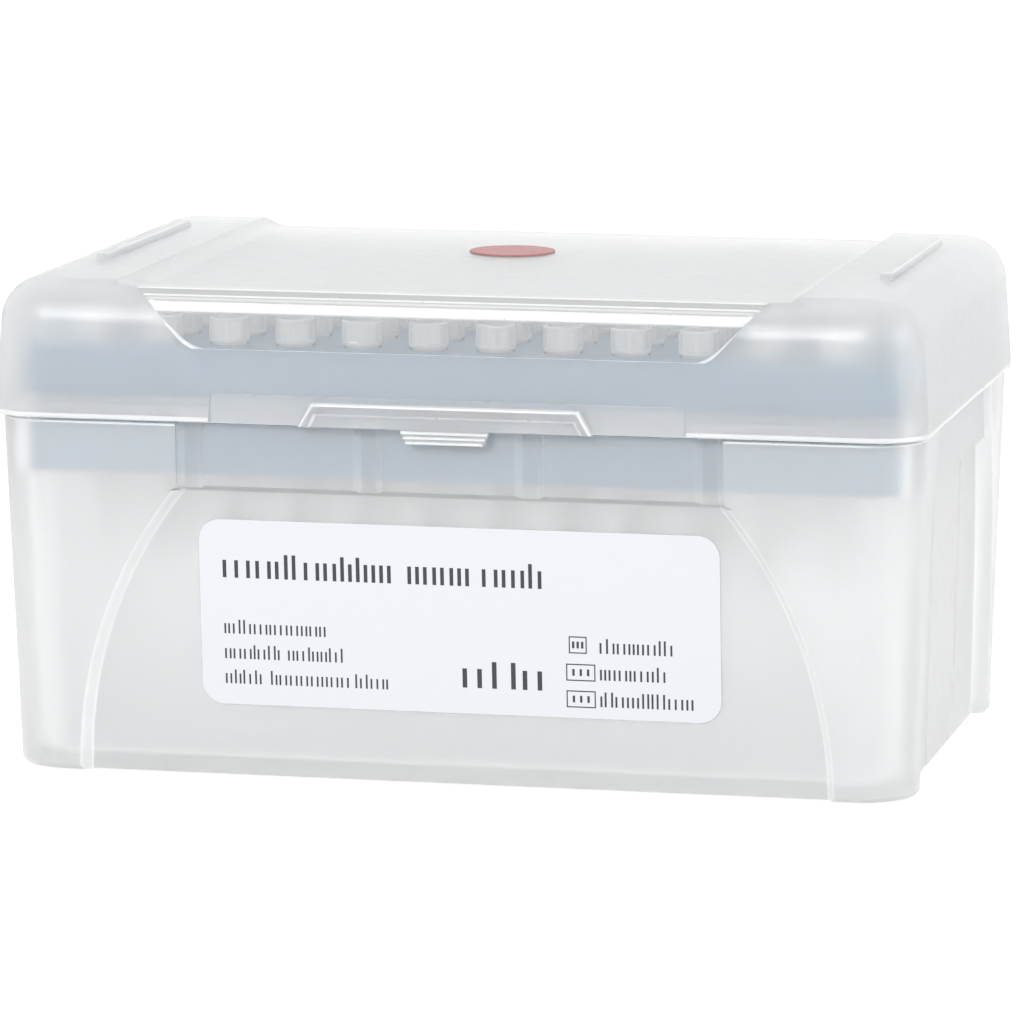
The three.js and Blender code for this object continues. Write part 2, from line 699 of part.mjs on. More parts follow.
// A pair of ears that holds the pins of one knuckle.
function hingeEars(x) {
  const wallY = baseHalfDepth(HINGE_Z) - BASE_WALL / 2;
  const under = EAR_RADIUS * Math.SQRT1_2;
  const outline = [
    [wallY, HINGE_Z - EAR_ROOT],
    [wallY + BASE_WALL, HINGE_Z - EAR_ROOT],
    [HINGE_Y + under, HINGE_Z - under],
    [HINGE_Y, HINGE_Z + PIN_RADIUS],
    [wallY, HINGE_Z + PIN_RADIUS],
  ];
  const boreRadius = clearOf(PIN_RADIUS + PIN_CLEARANCE, PIN_SIDES);
  const ear = (left) => {
    const right = left + EAR_THICKNESS;
    return alongX(outline, left, right)
      .add(rodAlongX(HINGE_Y, HINGE_Z, EAR_RADIUS, left, right))
      .subtract(rodAlongX(HINGE_Y, HINGE_Z, boreRadius, left - PAST, right + PAST));
  };
  return ear(x + EAR_SPACING / 2).add(ear(x - EAR_SPACING / 2 - EAR_THICKNESS));
}

// A groove under the base that takes one rib of the lid below.
function stackingGroove(side) {
  const half = RIB_HALF_WIDTH + RIB_PLAY;
  const reach = RIB_HALF_LENGTH + RIB_PLAY;
  const x = side * RIB_X;
  return box(x - half, x + half, RIB_Y - reach, RIB_Y + reach, -PAST, RIB_HEIGHT + GLUE_GAP);
}

function base() {
  const turned180 = (solid) => solid.rotate([0, 0, 180]);
  return baseOutside()
    .subtract(archRecess())
    .subtract(turned180(archRecess()))
    .subtract(endPanel())
    .subtract(turned180(endPanel()))
    .subtract(bandRecess())
    .add(pads())
    .add(catchRidge())
    .add(hingeEars(-HINGE_X))
    .add(hingeEars(HINGE_X))
    .subtract(baseInside())
    .subtract(stackingGroove(-1))
    .subtract(stackingGroove(1));
}

// ---- Tray ----

// Each tip's row, column and place, from the front left corner.
function tipPlaces() {
  const places = [];
  for (let row = 0; row < ROWS; row += 1) {
    for (let column = 0; column < COLUMNS; column += 1) {
      const x = (column - (COLUMNS - 1) / 2) * PITCH;
      const y = (row - (ROWS - 1) / 2) * PITCH;
      places.push({ row, column, x, y });
    }
  }
  return places;
}

function tray() {
  const corner = BASE_INNER_CORNER - TRAY_CLEARANCE;
  const bottom = LEDGE_Z + TRAY_REST_GAP;
  const outside = [bottom, TRAY_TOP_Z].map((z) => levelLoop(TRAY_HALF_WIDTH, TRAY_HALF_DEPTH, corner, z));
  const inside = [bottom - PAST, TRAY_TOP_Z - TRAY_PLATE].map((z) => (
    levelLoop(TRAY_HALF_WIDTH - TRAY_SKIRT, TRAY_HALF_DEPTH - TRAY_SKIRT, corner - TRAY_SKIRT, z)
  ));
  const holeRadius = clearOf(BARREL_RADIUS + HOLE_CLEARANCE, HOLE_SIDES);
  const drill = new THREE.CylinderGeometry(holeRadius, holeRadius, TRAY_PLATE + 2 * PAST, HOLE_SIDES);
  drill.rotateX(Math.PI / 2);
  const hole = toSolid(drill);
  const holes = tipPlaces().map(({ x, y }) => hole.translate([x, y, TRAY_TOP_Z - TRAY_PLATE / 2]));
  return toSolid(loft(outside)).subtract(toSolid(loft(inside))).subtract(wasm.Manifold.union(holes));
}

// ---- Tips and filters, with height 0 at a tip's top ----

// Turns a [radius, height] profile about Z.
function turned(profile, sides) {
  const geometry = new THREE.LatheGeometry(profile.map(([r, h]) => new THREE.Vector2(r, h)), sides);
  geometry.rotateX(Math.PI / 2);
  return toSolid(geometry);
}

// From the point, up the outside, over the collar and down the bore to the shoulder.
const TIP_PROFILE = [
  [POINT_RADIUS, -TIP_LENGTH],
  [SHOULDER_RADIUS, -SHOULDER_DEPTH],
  [BARREL_RADIUS, -COLLAR_HEIGHT],
  [COLLAR_RADIUS, -COLLAR_HEIGHT],
  [COLLAR_RADIUS, 0],
  [MOUTH_RADIUS, 0],
  [SHOULDER_BORE, -SHOULDER_DEPTH],
];

// A tip open from its mouth to its point.
function openTip() {
  const point = [POINT_BORE, -TIP_LENGTH];
  return turned([point, ...TIP_PROFILE, point], TIP_SIDES);
}

// One row of plainer tips, bored to below their filters and linked under their collars.
function tipRow() {
  const tip = turned([[0, -TIP_LENGTH], ...TIP_PROFILE, [0, -SHOULDER_DEPTH]], ROW_TIP_SIDES);
  const linkEnd = COLLAR_RADIUS - ROW_LINK_BITE;
  const linkTop = ROW_LINK_BITE - COLLAR_HEIGHT;
  const parts = [];
  for (let column = 0; column < COLUMNS; column += 1) {
    const x = (column - (COLUMNS - 1) / 2) * PITCH;
    parts.push(tip.translate([x, 0, 0]));
    if (column > 0) {
      const left = x - PITCH + linkEnd;
      parts.push(box(left, x - linkEnd, -ROW_LINK_HALF, ROW_LINK_HALF, -COLLAR_HEIGHT, linkTop));
    }
  }
  return wasm.Manifold.union(parts);
}

function filter() {
  const radiusAt = (depth) => {
    const bore = MOUTH_RADIUS + (SHOULDER_BORE - MOUTH_RADIUS) * (depth / SHOULDER_DEPTH);
    return bore - FILTER_CLEARANCE;
  };
  const bottom = FILTER_DEPTH + FILTER_LENGTH;
  return turned([
    [0, -bottom],
    [radiusAt(bottom), -bottom],
    [radiusAt(FILTER_DEPTH), -FILTER_DEPTH],
    [0, -FILTER_DEPTH],
  ], TIP_SIDES);
}

// ---- Label and dot ----

function label() {
  const halfWidth = archHalf(LABEL_BOTTOM_Z + LABEL_HEIGHT, 0) - LABEL_MARGIN;
  const loops = [0, STICKER_THICKNESS].map((z) => levelLoop(halfWidth, LABEL_HEIGHT / 2, LABEL_CORNER, z));
  return toSolid(loft(loops));
}

function dot() {
  const geometry = new THREE.CylinderGeometry(DOT_RADIUS, DOT_RADIUS, STICKER_THICKNESS, DOT_SIDES);
  geometry.rotateX(Math.PI / 2);
  return toSolid(geometry);
}

// ---- Assembly ----

const tipBox = new THREE.Group();

function addPart(name, solidOrGeometry, material, position) {
  const geometry = solidOrGeometry.isBufferGeometry ? solidOrGeometry : toGeometry(solidOrGeometry);
  const mesh = new THREE.Mesh(geometry, material);
  mesh.name = name;
  mesh.position.set(...position);
  tipBox.add(mesh);
  return mesh;
}

addPart('base', base(), frosted, [0, 0, 0]);
addPart('lid', lid(), frosted, [0, 0, 0]);
addPart('tip_tray', tray(), trayBlue, [0, 0, 0]);

// The label leans with the panel that it is stuck on.
const panelTop = baseHalfDepth(ARCH_TOP_Z) - archDepth(ARCH_TOP_Z);
const panelFoot = baseHalfDepth(0) - archDepth(0);
const panelSlope = (panelTop - panelFoot) / ARCH_TOP_Z;
const labelZ = LABEL_BOTTOM_Z + LABEL_HEIGHT / 2;
const labelY = -(panelFoot + panelSlope * labelZ) - GLUE_GAP;
const labelMesh = addPart('front_label', label(), paper, [LABEL_X, labelY, labelZ]);
labelMesh.rotation.x = Math.PI / 2 + Math.atan(panelSlope);

const dotZ = LID_PANEL_Z + GLUE_GAP + STICKER_THICKNESS / 2;
addPart('indicator_dot', dot(), dotRed, [DOT_X, DOT_Y, dotZ]);

const tipGeometry = toGeometry(openTip());
const filterGeometry = toGeometry(filter());
const rowGeometry = toGeometry(tipRow());
for (const { row, column, x, y } of tipPlaces()) {
  if (row === 0) {
    const place = `A${String(column + 1).padStart(2, '0')}`;
    addPart(`tip_${place}`, tipGeometry, clearTip, [x, y, TIP_TOP_Z]);
    addPart(`filter_${place}`, filterGeometry, porous, [x, y, TIP_TOP_Z]);
  } else if (column === 0) {
    addPart(`tip_row_${'ABCDEFGH'[row]}`, rowGeometry, clearTip, [0, y, TIP_TOP_Z]);
  }
}

export default tipBox;
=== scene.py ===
"""A box of pipette tips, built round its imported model: frosted base and lid, tray, tips, label and stage."""

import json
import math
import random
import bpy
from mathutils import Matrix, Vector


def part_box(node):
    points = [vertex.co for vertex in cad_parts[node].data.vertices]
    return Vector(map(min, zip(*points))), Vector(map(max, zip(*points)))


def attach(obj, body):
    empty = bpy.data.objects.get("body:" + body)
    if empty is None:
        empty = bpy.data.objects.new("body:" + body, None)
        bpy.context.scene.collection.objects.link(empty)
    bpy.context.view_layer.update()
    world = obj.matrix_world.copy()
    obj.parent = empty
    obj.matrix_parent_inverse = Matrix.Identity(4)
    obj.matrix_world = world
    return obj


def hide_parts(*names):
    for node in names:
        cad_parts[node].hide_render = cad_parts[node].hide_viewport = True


bl_info = {
    "name": "Pipette Tip Box",
    "version": (1, 0, 0),
    "blender": (4, 5, 0),
    "location": "3D View > Sidebar > Tip Box",
    "description": "Builds a frosted box of filter pipette tips piece by piece",
    "category": "Object",
}

import bmesh
import bpy
from bpy.props import FloatProperty, FloatVectorProperty, IntProperty, PointerProperty
from mathutils import Matrix, Vector

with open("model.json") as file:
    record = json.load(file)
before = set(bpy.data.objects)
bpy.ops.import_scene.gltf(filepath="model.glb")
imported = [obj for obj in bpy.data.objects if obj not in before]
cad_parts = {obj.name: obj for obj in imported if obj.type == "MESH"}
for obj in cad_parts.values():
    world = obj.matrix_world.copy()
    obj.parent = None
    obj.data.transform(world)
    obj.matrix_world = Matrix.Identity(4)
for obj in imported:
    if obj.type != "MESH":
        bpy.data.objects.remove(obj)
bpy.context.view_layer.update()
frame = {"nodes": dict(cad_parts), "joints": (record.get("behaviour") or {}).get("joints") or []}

MM = 0.001

# In millimetres: points nearer than this count as one, and two faces this far apart aren't in one plane.
SAME_PLACE = 1e-4
HAIR = 0.02


def cad_mm(node):
    """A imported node's lowest and highest corners, in millimetres."""
    low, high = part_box(node)
    return low / MM, high / MM


LID_LOW, LID_HIGH = cad_mm("lid")
TRAY_LOW, TRAY_HIGH = cad_mm("tip_tray")
TIP_LOW, TIP_HIGH = cad_mm("tip_A01")
FILTER_LOW, FILTER_HIGH = cad_mm("filter_A01")
LABEL_LOW, LABEL_HIGH = cad_mm("front_label")
DOT_LOW, DOT_HIGH = cad_mm("indicator_dot")
HINGE = Vector(frame["joints"][0]["pos_m"]) / MM
NODES = sorted(frame["nodes"])
TIP_NODES = [n for n in NODES if n.startswith("tip_A") or n.startswith("tip_row")]
FILTER_NODES = [n for n in NODES if n.startswith("filter_")]

# The base's and the lid's plastics, and for each its name, the share of light it lets through, its
# whiteness and its roughness; the clear window comes after them. Beside the plain and the thick plastic,
# the others are copies of it that paint light and shade: painted light on bands and soft edges, painted
# shade on sunk panels and on the window's steps, and a painted highlight on thin edges.
FROSTED, THICK, BAND_PAINTED_LIGHT, PANEL_PAINTED_SHADE, EDGE_PAINTED_LIGHT, PAINTED_HIGHLIGHT, PAINTED_SHADE, POLISHED = range(8)
PLASTICS = (
    ("frosted plastic", 0.86, 1.0, 0.46),
    ("thick frosted plastic", 0.74, 1.0, 0.46),
    ("frosted band with painted light", 0.8, 0.97, 0.46),
    ("frosted panel with painted shade", 0.72, 0.92, 0.5),
    ("frosted edge with painted light", 0.5, 1.0, 0.4),
    ("edge with painted highlight", 0.4, 0.84, 0.3),
    ("step with painted shade", 0.3, 0.44, 0.4),
)


# ---- Settings ----


def length(name, default, description):
    """A length setting in millimetres."""
    return FloatProperty(name=name, default=default, description=description, precision=2, min=0.0)


def tint(name, default, description):
    """A colour setting."""
    return FloatVectorProperty(
        name=name, default=default, description=description, subtype="COLOR", size=3, min=0, max=1
    )


class ShellSettings(bpy.types.PropertyGroup):
    """Sizes that the base and the lid share, in millimetres."""

    wall: length("Wall", 1.4, "Thickness of the lid's and the base's walls")
    clearance: length("Clearance", 0.4, "Gap between the base's neck and the lid")
    edge: length("Edge", 0.35, "Radius of the rounded edges")
    rib_margin: length("Rib margin", 9.1, "Distance from the box's end to a stacking rib")
    rib_y: length("Rib place", 4.5, "Distance of the stacking ribs' middles behind the box's middle")
    rib_length: length("Rib length", 42.4, "Length of a stacking rib")
    rib_width: length("Rib width", 1.8, "Width of a stacking rib")
    rib_height: length("Rib height", 1.0, "Height of a stacking rib")
    rim_gap: length("Rim gap", 0.3, "Gap between the base's shoulder and the lid's rim")
    hinge_drop: length("Hinge drop", 2.5, "Distance from the lid's rim down to the hinge")
    hinge_margin: length("Hinge margin", 30.5, "Distance from the box's end to a knuckle's middle")
    ear_spacing: length("Ear spacing", 8.0, "Gap between the ears of one hinge")
    ear_thickness: length("Ear thickness", 2.4, "Thickness of an ear")
    ear_radius: length("Ear radius", 2.6, "Radius of an ear")
    pin_radius: length("Pin radius", 1.2, "Radius of a hinge pin")
    pin_play: length("Pin play", 0.3, "Gap round a hinge pin")


class BaseSettings(bpy.types.PropertyGroup):
    """Sizes of the base, in millimetres."""

    set_back: length("Set back", 0.8, "How far the base stands in from the lid's rim")
    corner: length("Corner", 7.5, "Radius of the corners seen from above")
    side_draft: length("Side draft", 1.1, "How much each end leans in towards its foot")
    front_draft: length("Front draft", 3.3, "How much the front leans in towards its foot")
    floor: length("Floor", 2.0, "Thickness of the floor")
    inner_corner: length("Inner corner", 5.1, "Radius of the corners inside")
    foot: length("Foot", 1.0, "Radius of the rounded foot")
    neck_height: length("Neck height", 3.2, "How far the neck reaches into the lid")
    neck_wall: length("Neck wall", 1.5, "Thickness of the neck")
    ledge_drop: length("Ledge drop", 7.3, "Distance from the shoulder down to the tray's ledge")
    arch_radius: length("Arch radius", 60.0, "Radius of the sides of the arched panel")
    arch_margin: length("Arch margin", 13.0, "Distance from the box's end to the arch's foot")
    arch_drop: length("Arch drop", 1.8, "Distance from the ledge down to the arch's top")
    arch_depth_top: length("Arch depth, top", 1.4, "Depth of the arched panel at its top")
    arch_depth_foot: length("Arch depth, foot", 2.0, "Depth of the arched panel at its foot")
    bevel: length("Bevel", 1.3, "Width of the rounded edge of the panels")
    band_depth: length("Band depth", 1.5, "Depth of the grooves between the pads")
    pad_proud: length("Pad height", 0.6, "How far the pads stand out of the grooves")
    pad_half: length("Middle pad", 9.7, "Half the width of the middle pad")
    pad_groove: length("Pad groove", 2.2, "Width of the grooves between the pads")
    pad_corner: length("Pad corner", 1.2, "Radius of the pads' lower corners")
    side_drop: length("Side drop", 1.3, "Distance from the ledge down to the end panel's top")
    side_depth: length("Side depth", 2.3, "Depth of the end panels")
    side_band: length("Side band", 1.0, "Depth of the end panels beside the tray")
    side_half: length("Side half", 28.4, "Half the end panel's width at its foot")
    side_lean: length("Side lean", 7.2, "How far an end panel's edge leans in at the rim")
    side_groove: length("Side groove", 11.3, "Distance of an end panel's grooves from its middle")


class LidSettings(bpy.types.PropertyGroup):
    """Sizes of the lid, in millimetres."""

    corner: length("Corner", 7.0, "Radius of the corners seen from above")
    fillet: length("Fillet", 5.5, "Radius of the top edge at the front and the ends")
    back_fillet: length("Back fillet", 3.0, "Radius of the top edge at the back")
    side_draft: length("Side draft", 1.2, "How much each end leans in")
    front_draft: length("Front draft", 0.6, "How much the front leans in")
    block_width: length("Block width", 17.7, "Width of the raised block at each end")
    block_slope: length("Block slope", 2.4, "Width of the slope beside a raised block")
    block_rise: length("Block rise", 1.4, "How far the end blocks stand over the middle")
    window_gap: length("Window gap", 3.7, "Distance from an end block to the window's top corner")
    window_slant: length("Window slant", 7.0, "How far each end of the window slants in")
    window_sill: length("Window sill", 0.4, "Height of the window's sill over the tray")
    window_recess: length("Window recess", 0.9, "Depth of the window behind the lid's front")
    window_wall: length("Window wall", 1.3, "Thickness of the window")
    band_drop: length("Band drop", 0.9, "Distance from the panel down to the slanting band")
    band_height: length("Band height", 1.2, "Height of the slanting band over the window")
    band_depth: length("Band depth", 0.9, "How far the slanting band leans back")
    step: length("Step", 0.2, "Depth of the steps under the lip")
    lip_height: length("Lip height", 0.9, "Height of the lip along the panel's front")
    lip_width: length("Lip width", 7.5, "Width of the lip")
    lip_ramp: length("Lip ramp", 3.5, "Width of the lip's slope")
    field_half: length("Field half", 31.5, "Half the width of the field round the latch")
    field_height: length("Field height", 3.8, "Height of the field round the latch")
    field_recess: length("Field recess", 0.3, "Depth of the field round the latch")
    tongue_top: length("Tongue top", 17.8, "Half the width of the latch's tongue at its top")
    tongue_bottom: length("Tongue bottom", 19.5, "Half the width of the latch's tongue at the rim")
    tongue_height: length("Tongue height", 3.1, "Height of the latch's tongue")
    tongue_proud: length("Tongue proud", 0.9, "How far the tongue stands out of the lid's front")
    step_inset: length("Step inset", 1.6, "Distance from the tongue's edge to its step")
    step_height: length("Step height", 1.5, "Height of the tongue's step")
    step_depth: length("Step depth", 0.4, "Depth of the tongue's step")
    tab_top: length("Tab top", 6.1, "Half the width of the thumb tab at its top")
    tab_bottom: length("Tab bottom", 5.1, "Half the width of the thumb tab at its foot")
    tab_drop: length("Tab drop", 1.9, "How far the thumb tab hangs under the rim")
    tab_thickness: length("Tab thickness", 1.5, "Thickness of the thumb tab")
    tab_ridge: length("Tab ridge", 0.3, "How far the thumb tab's ridges stand out")


class TipSettings(bpy.types.PropertyGroup):
    """Sizes of the tips, their grid and the tray, in millimetres."""

    pitch: length("Pitch", 9.0, "Distance between tips")
    columns: IntProperty(name="Columns", default=12, min=1, description="Tips along the box")
    rows: IntProperty(name="Rows", default=8, min=1, description="Tips across the box")
    collar_height: length("Collar height", 3.2, "Height of a tip's collar")
    barrel_radius: length("Barrel radius", 2.3, "Radius of a tip under its collar")
    taper: length("Taper", 0.4, "How much a tip's barrel narrows down to its shoulder")
    wall: length("Wall", 0.35, "Thickness of a tip's wall")
    shoulder: length("Shoulder", 14.5, "Distance from a tip's top down to its shoulder")
    point_radius: length("Point radius", 0.5, "Outer radius of a tip's point")
    point_bore: length("Point bore", 0.25, "Radius of the hole in a tip's point")
    ribs: IntProperty(name="Ribs", default=8, min=3, description="Ribs round a tip's collar")
    hole_play: length("Hole play", 0.3, "Gap between a tip and its hole in the tray")
    plate: length("Plate", 1.4, "Thickness of the tray's plate")
    skirt: length("Skirt", 1.2, "Thickness of the tray's skirt")


class ColourSettings(bpy.types.PropertyGroup):
    """Colours of the pieces."""

    frosted: tint("Frosted plastic", (0.955, 0.96, 0.965), "Tint of the base and the lid")
    tray: tint("Tray", (0.07, 0.205, 0.32), "Colour of the tip tray")
    tip: tint("Tip plastic", (0.985, 0.985, 0.98), "Tint of the tips")
    filter: tint("Filter", (0.92, 0.92, 0.90), "Colour of the porous filters")
    paper: tint("Paper", (0.56, 0.57, 0.595), "Colour of the label")
    ink: tint("Ink", (0.022, 0.024, 0.032), "Colour of the label's print")
    dot: tint("Indicator dot", (0.35, 0.145, 0.14), "Colour of the indicator dot")
    floor: tint("Stage", (0.93, 0.93, 0.93), "Colour of the stage")


def shell_settings():
    return bpy.context.scene.tip_box_shell


def base_settings():
    return bpy.context.scene.tip_box_base


def lid_settings():
    return bpy.context.scene.tip_box_lid


def tip_settings():
    return bpy.context.scene.tip_box_tips


def colours():
    return bpy.context.scene.tip_box_colours


# ---- Mesh helpers, in millimetres ----


def shares(steps):
    """Even places from 0 to 1."""
    return [i / steps for i in range(steps + 1)]


def rounded_loop(left, right, front, back, radius, z, steps=12):
    """Points round a level rectangle with round corners."""
    loop = []
    corners = (
        (right - radius, back - radius, 0),
        (left + radius, back - radius, 90),
        (left + radius, front + radius, 180),
        (right - radius, front + radius, 270),
    )
    for x, y, start in corners:
        for share in shares(steps):
            angle = math.radians(start + 90 * share)
            loop.append(Vector((x + radius * math.cos(angle), y + radius * math.sin(angle), z)))
    return loop


def level_loop(half_width, half_depth, radius, z, steps=12):
    return rounded_loop(-half_width, half_width, -half_depth, half_depth, radius, z, steps)


def upright(outline, y):
    """Points round an outline of (x, z) points that stands across the box at Y."""
    return [Vector((x, y, z)) for x, z in outline]


def at_depth(loop, y):
    """A copy of a loop, all at one Y."""
    return [Vector((p.x, y, p.z)) for p in loop]


def new_object(name, mesh):
    obj = bpy.data.objects.new(name, mesh)
    bpy.context.scene.collection.objects.link(obj)
    return obj


def loft(name, loops, closed=False, paint=None):
    """A closed skin over a stack of loops.

    A closed stack joins its last loop to its first. Paint gives the place of a face's material from the ring
    that the face is in and its own place in the ring; the two ends count as the ring after the last.
    """
    count, total = len(loops[0]), len(loops)
    faces = []
    for ring in range(total if closed else total - 1):
        here, there = ring * count, ((ring + 1) % total) * count
        for i in range(count):
            j = (i + 1) % count
            faces.append((here + i, here + j, there + j, there + i))
    if not closed:
        faces.append(tuple(reversed(range(count))))
        faces.append(tuple(range((total - 1) * count, total * count)))
    mesh = bpy.data.meshes.new(name)
    mesh.from_pydata([p for loop in loops for p in loop], [], faces)
    if paint:
        for index, polygon in enumerate(mesh.polygons):
            polygon.material_index = paint(*divmod(index, count))
    obj = new_object(name, mesh)
    tidy(obj)
    return obj


def tidy(obj):
    """Merges doubles and turns the faces outwards."""
    bm = bmesh.new()
    bm.from_mesh(obj.data)
    bmesh.ops.remove_doubles(bm, verts=bm.verts, dist=SAME_PLACE)
    bmesh.ops.recalc_face_normals(bm, faces=bm.faces)
    bm.to_mesh(obj.data)
    bm.free()


def along_x(name, outline, left, right, paint=None):
    """Extrudes an outline of (y, z) points along X; paint goes by the sides of the outline."""
    loops = [[Vector((x, y, z)) for y, z in outline] for x in (left, right)]
    return loft(name, loops, paint=paint and (lambda ring, side: FROSTED if ring else paint(side)))


def along_y(name, outline, front, back, paint=None):
    """Extrudes an outline of (x, z) points along Y; paint goes by the sides of the outline."""
    loops = [upright(outline, y) for y in (back, front)]
    return loft(name, loops, paint=paint and (lambda ring, side: FROSTED if ring else paint(side)))


def symmetric(right_half):
    """An outline that is the same on both sides, from its right half listed upwards."""
    return list(right_half) + [(-x, z) for x, z in reversed(right_half)]


def block(name, left, right, front, back, bottom, top, edge):
    """A box whose upright edges are rounded."""
    return loft(name, [rounded_loop(left, right, front, back, edge, z, 4) for z in (bottom, top)])


def rod(name, y, z, radius, left, right, sides=40):
    """A round bar along X."""
    return along_x(name, arc((y, z), radius, 0, 360 - 360 / sides, sides - 1), left, right)


def arc(centre, radius, start, end, steps):
    """Points on a round arc, with angles in degrees."""
    points = []
    for share in shares(steps):
        angle = math.radians(start + (end - start) * share)
        points.append((centre[0] + radius * math.cos(angle), centre[1] + radius * math.sin(angle)))
    return points


def rounding(top, edge, steps=4):
    """How far a rounded upper edge has drawn in, and at which height, from its lower end up to its top."""
    return arc((edge, top - edge), edge, 180, 90, steps)


def soft_step(share):
    """A smooth rise from 0 to 1."""
    return share * share * (3 - 2 * share)


def bake(obj):
    """Replaces an object's mesh by what its modifiers make, and removes them."""
    bpy.context.view_layer.update()
    graph = bpy.context.evaluated_depsgraph_get()
    mesh = bpy.data.meshes.new_from_object(obj.evaluated_get(graph), depsgraph=graph)
    obj.modifiers.clear()
    obj.data = mesh
    return obj


def combine(target, tools, operation):
    """Cuts tools from a target, or joins them to it; every new face keeps its tool's material."""
    for tool in tools:
        for obj in (target, tool):
            if not obj.data.materials:
                for material in shell_materials():
                    obj.data.materials.append(material)
        modifier = target.modifiers.new("combine", "BOOLEAN")
        modifier.operation = operation
        modifier.solver = "MANIFOLD"
        modifier.material_mode = "TRANSFER"
        modifier.object = tool
        bake(target)
        bpy.data.objects.remove(tool)
    return target


def cut(target, *tools):
    return combine(target, tools, "DIFFERENCE")


def join(target, *tools):
    return combine(target, tools, "UNION")


def split_long_faces(bm, length=8.0):
    """Cuts every face across at even places along X and Y, so that none is long and thin."""
    for axis in (Vector((1, 0, 0)), Vector((0, 1, 0))):
        places = [axis.dot(vert.co) for vert in bm.verts]
        low, span = min(places), max(places) - min(places)
        count = math.ceil(span / length)
        for i in range(1, count):
            bmesh.ops.bisect_plane(
                bm, geom=[*bm.verts, *bm.edges, *bm.faces], dist=SAME_PLACE,
                plane_co=axis * (low + span * i / count), plane_no=axis,
            )


def smooth(obj, sharp_degrees=38):
    """Smooth shading with sharp edges where faces meet steeply, and normals that follow the large faces."""
    limit = math.radians(sharp_degrees)
    bm = bmesh.new()
    bm.from_mesh(obj.data)
    bmesh.ops.dissolve_degenerate(bm, edges=bm.edges, dist=SAME_PLACE)
    split_long_faces(bm)
    for face in bm.faces:
        face.smooth = True
    for edge in bm.edges:
        edge.smooth = edge.calc_face_angle(0.0) < limit
    bm.to_mesh(obj.data)
    bm.free()
    modifier = obj.modifiers.new("normals", "WEIGHTED_NORMAL")
    modifier.keep_sharp = True
    modifier.weight = 60
    return bake(obj)


def finish_piece(obj, body, material=None, nodes=()):
    """Scales a piece to metres, gives it its material, and puts it on its body."""
    obj.data.transform(Matrix.Scale(MM, 4))
    if material:
        obj.data.materials.clear()
        obj.data.materials.append(material)
    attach(obj, body)
    if nodes:
        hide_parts(*nodes)
    return obj


# ---- Materials ----


def shade(colour, factor):
    return tuple(min(c * factor, 1.0) for c in colour)


def varied_material(name, colour, tone=None, rough=None, bump=None, **inputs):
    """A material whose colour, roughness and skin vary a little by noise.

    Tone, rough and bump each start with the noise's scale per millimetre and its detail. Two values follow:
    the darkest and the palest shade, the lowest and the highest roughness, or the bumps' height and strength.
    """
    material = bpy.data.materials.new(name)
    material.use_nodes = True
    nodes, links = material.node_tree.nodes, material.node_tree.links
    bsdf = nodes["Principled BSDF"]
    bsdf.inputs["Base Color"].default_value = (*colour, 1)
    for key, value in inputs.items():
        bsdf.inputs[key.replace("_", " ")].default_value = value
    coordinates = nodes.new("ShaderNodeTexCoord")
    low_noise, high_noise = 0.3, 0.7

    def noise_into(socket, per_mm, detail):
        texture = nodes.new("ShaderNodeTexNoise")
        texture.inputs["Scale"].default_value = per_mm / MM
        texture.inputs["Detail"].default_value = detail
        links.new(coordinates.outputs["Object"], texture.inputs["Vector"])
        links.new(texture.outputs["Fac"], socket)

    if tone:
        node = nodes.new("ShaderNodeValToRGB")
        for element, place, factor in zip(node.color_ramp.elements, (low_noise, high_noise), tone[2:]):
            element.position = place
            element.color = (*shade(colour, factor), 1)
        noise_into(node.inputs["Fac"], *tone[:2])
        links.new(node.outputs["Color"], bsdf.inputs["Base Color"])
    if rough:
        node = nodes.new("ShaderNodeMapRange")
        limits = {"From Min": low_noise, "From Max": high_noise, "To Min": rough[2], "To Max": rough[3]}
        for key, value in limits.items():
            node.inputs[key].default_value = value
        noise_into(node.inputs["Value"], *rough[:2])
        links.new(node.outputs["Result"], bsdf.inputs["Roughness"])
    if bump:
        node = nodes.new("ShaderNodeBump")
        node.inputs["Distance"].default_value = bump[2] * MM
        node.inputs["Strength"].default_value = bump[3]
        noise_into(node.inputs["Height"], *bump[:2])
        links.new(node.outputs["Normal"], bsdf.inputs["Normal"])
    return material


def frosted_plastic(name, transmission, whiteness, roughness):
    """Moulded frosted plastic with a satin skin."""
    spread = 0.03
    return varied_material(
        name, shade(colours().frosted, whiteness),
        tone=(0.05, 3, 0.985, 1), rough=(0.4, 3, roughness - spread, roughness + spread),
        bump=(2.2, 2, 0.012, 0.3),
        Transmission_Weight=transmission, IOR=1.40, Coat_Weight=0.85, Coat_Roughness=0.34,
    )


def polished_plastic(name):
    """Clear polished plastic with a slight haze."""
    return varied_material(
        name, colours().frosted, rough=(0.3, 3, 0.02, 0.05), bump=(0.25, 1, 0.01, 0.3),
        Transmission_Weight=0.85, IOR=1.45,
    )


def shell_materials():
    """The materials of the base and the lid, made once and in the order of their places."""
    names = [plastic[0] for plastic in PLASTICS] + ["clear window"]
    if names[0] not in bpy.data.materials:
        for plastic in PLASTICS:
            frosted_plastic(*plastic)
        polished_plastic(names[POLISHED])
    return [bpy.data.materials[name] for name in names]


def tray_plastic():
    return varied_material(
        "tray plastic", colours().tray,
        tone=(0.08, 3, 0.94, 1.04), rough=(0.5, 3, 0.34, 0.46), bump=(1.5, 3, 0.01, 0.4),
        Subsurface_Weight=0.15, Subsurface_Radius=(0.001, 0.0015, 0.002),
    )


def tip_plastic():
    return varied_material(
        "tip plastic", colours().tip, rough=(0.8, 3, 0.06, 0.12), bump=(1.2, 1, 0.008, 0.3),
        Transmission_Weight=0.45, IOR=1.40,
    )


def porous_filter():
    grain = (9, 4)
    return varied_material(
        "porous filter", colours().filter,
        tone=(*grain, 0.86, 1), rough=(*grain, 0.8, 0.95), bump=(*grain, 0.05, 0.8),
    )


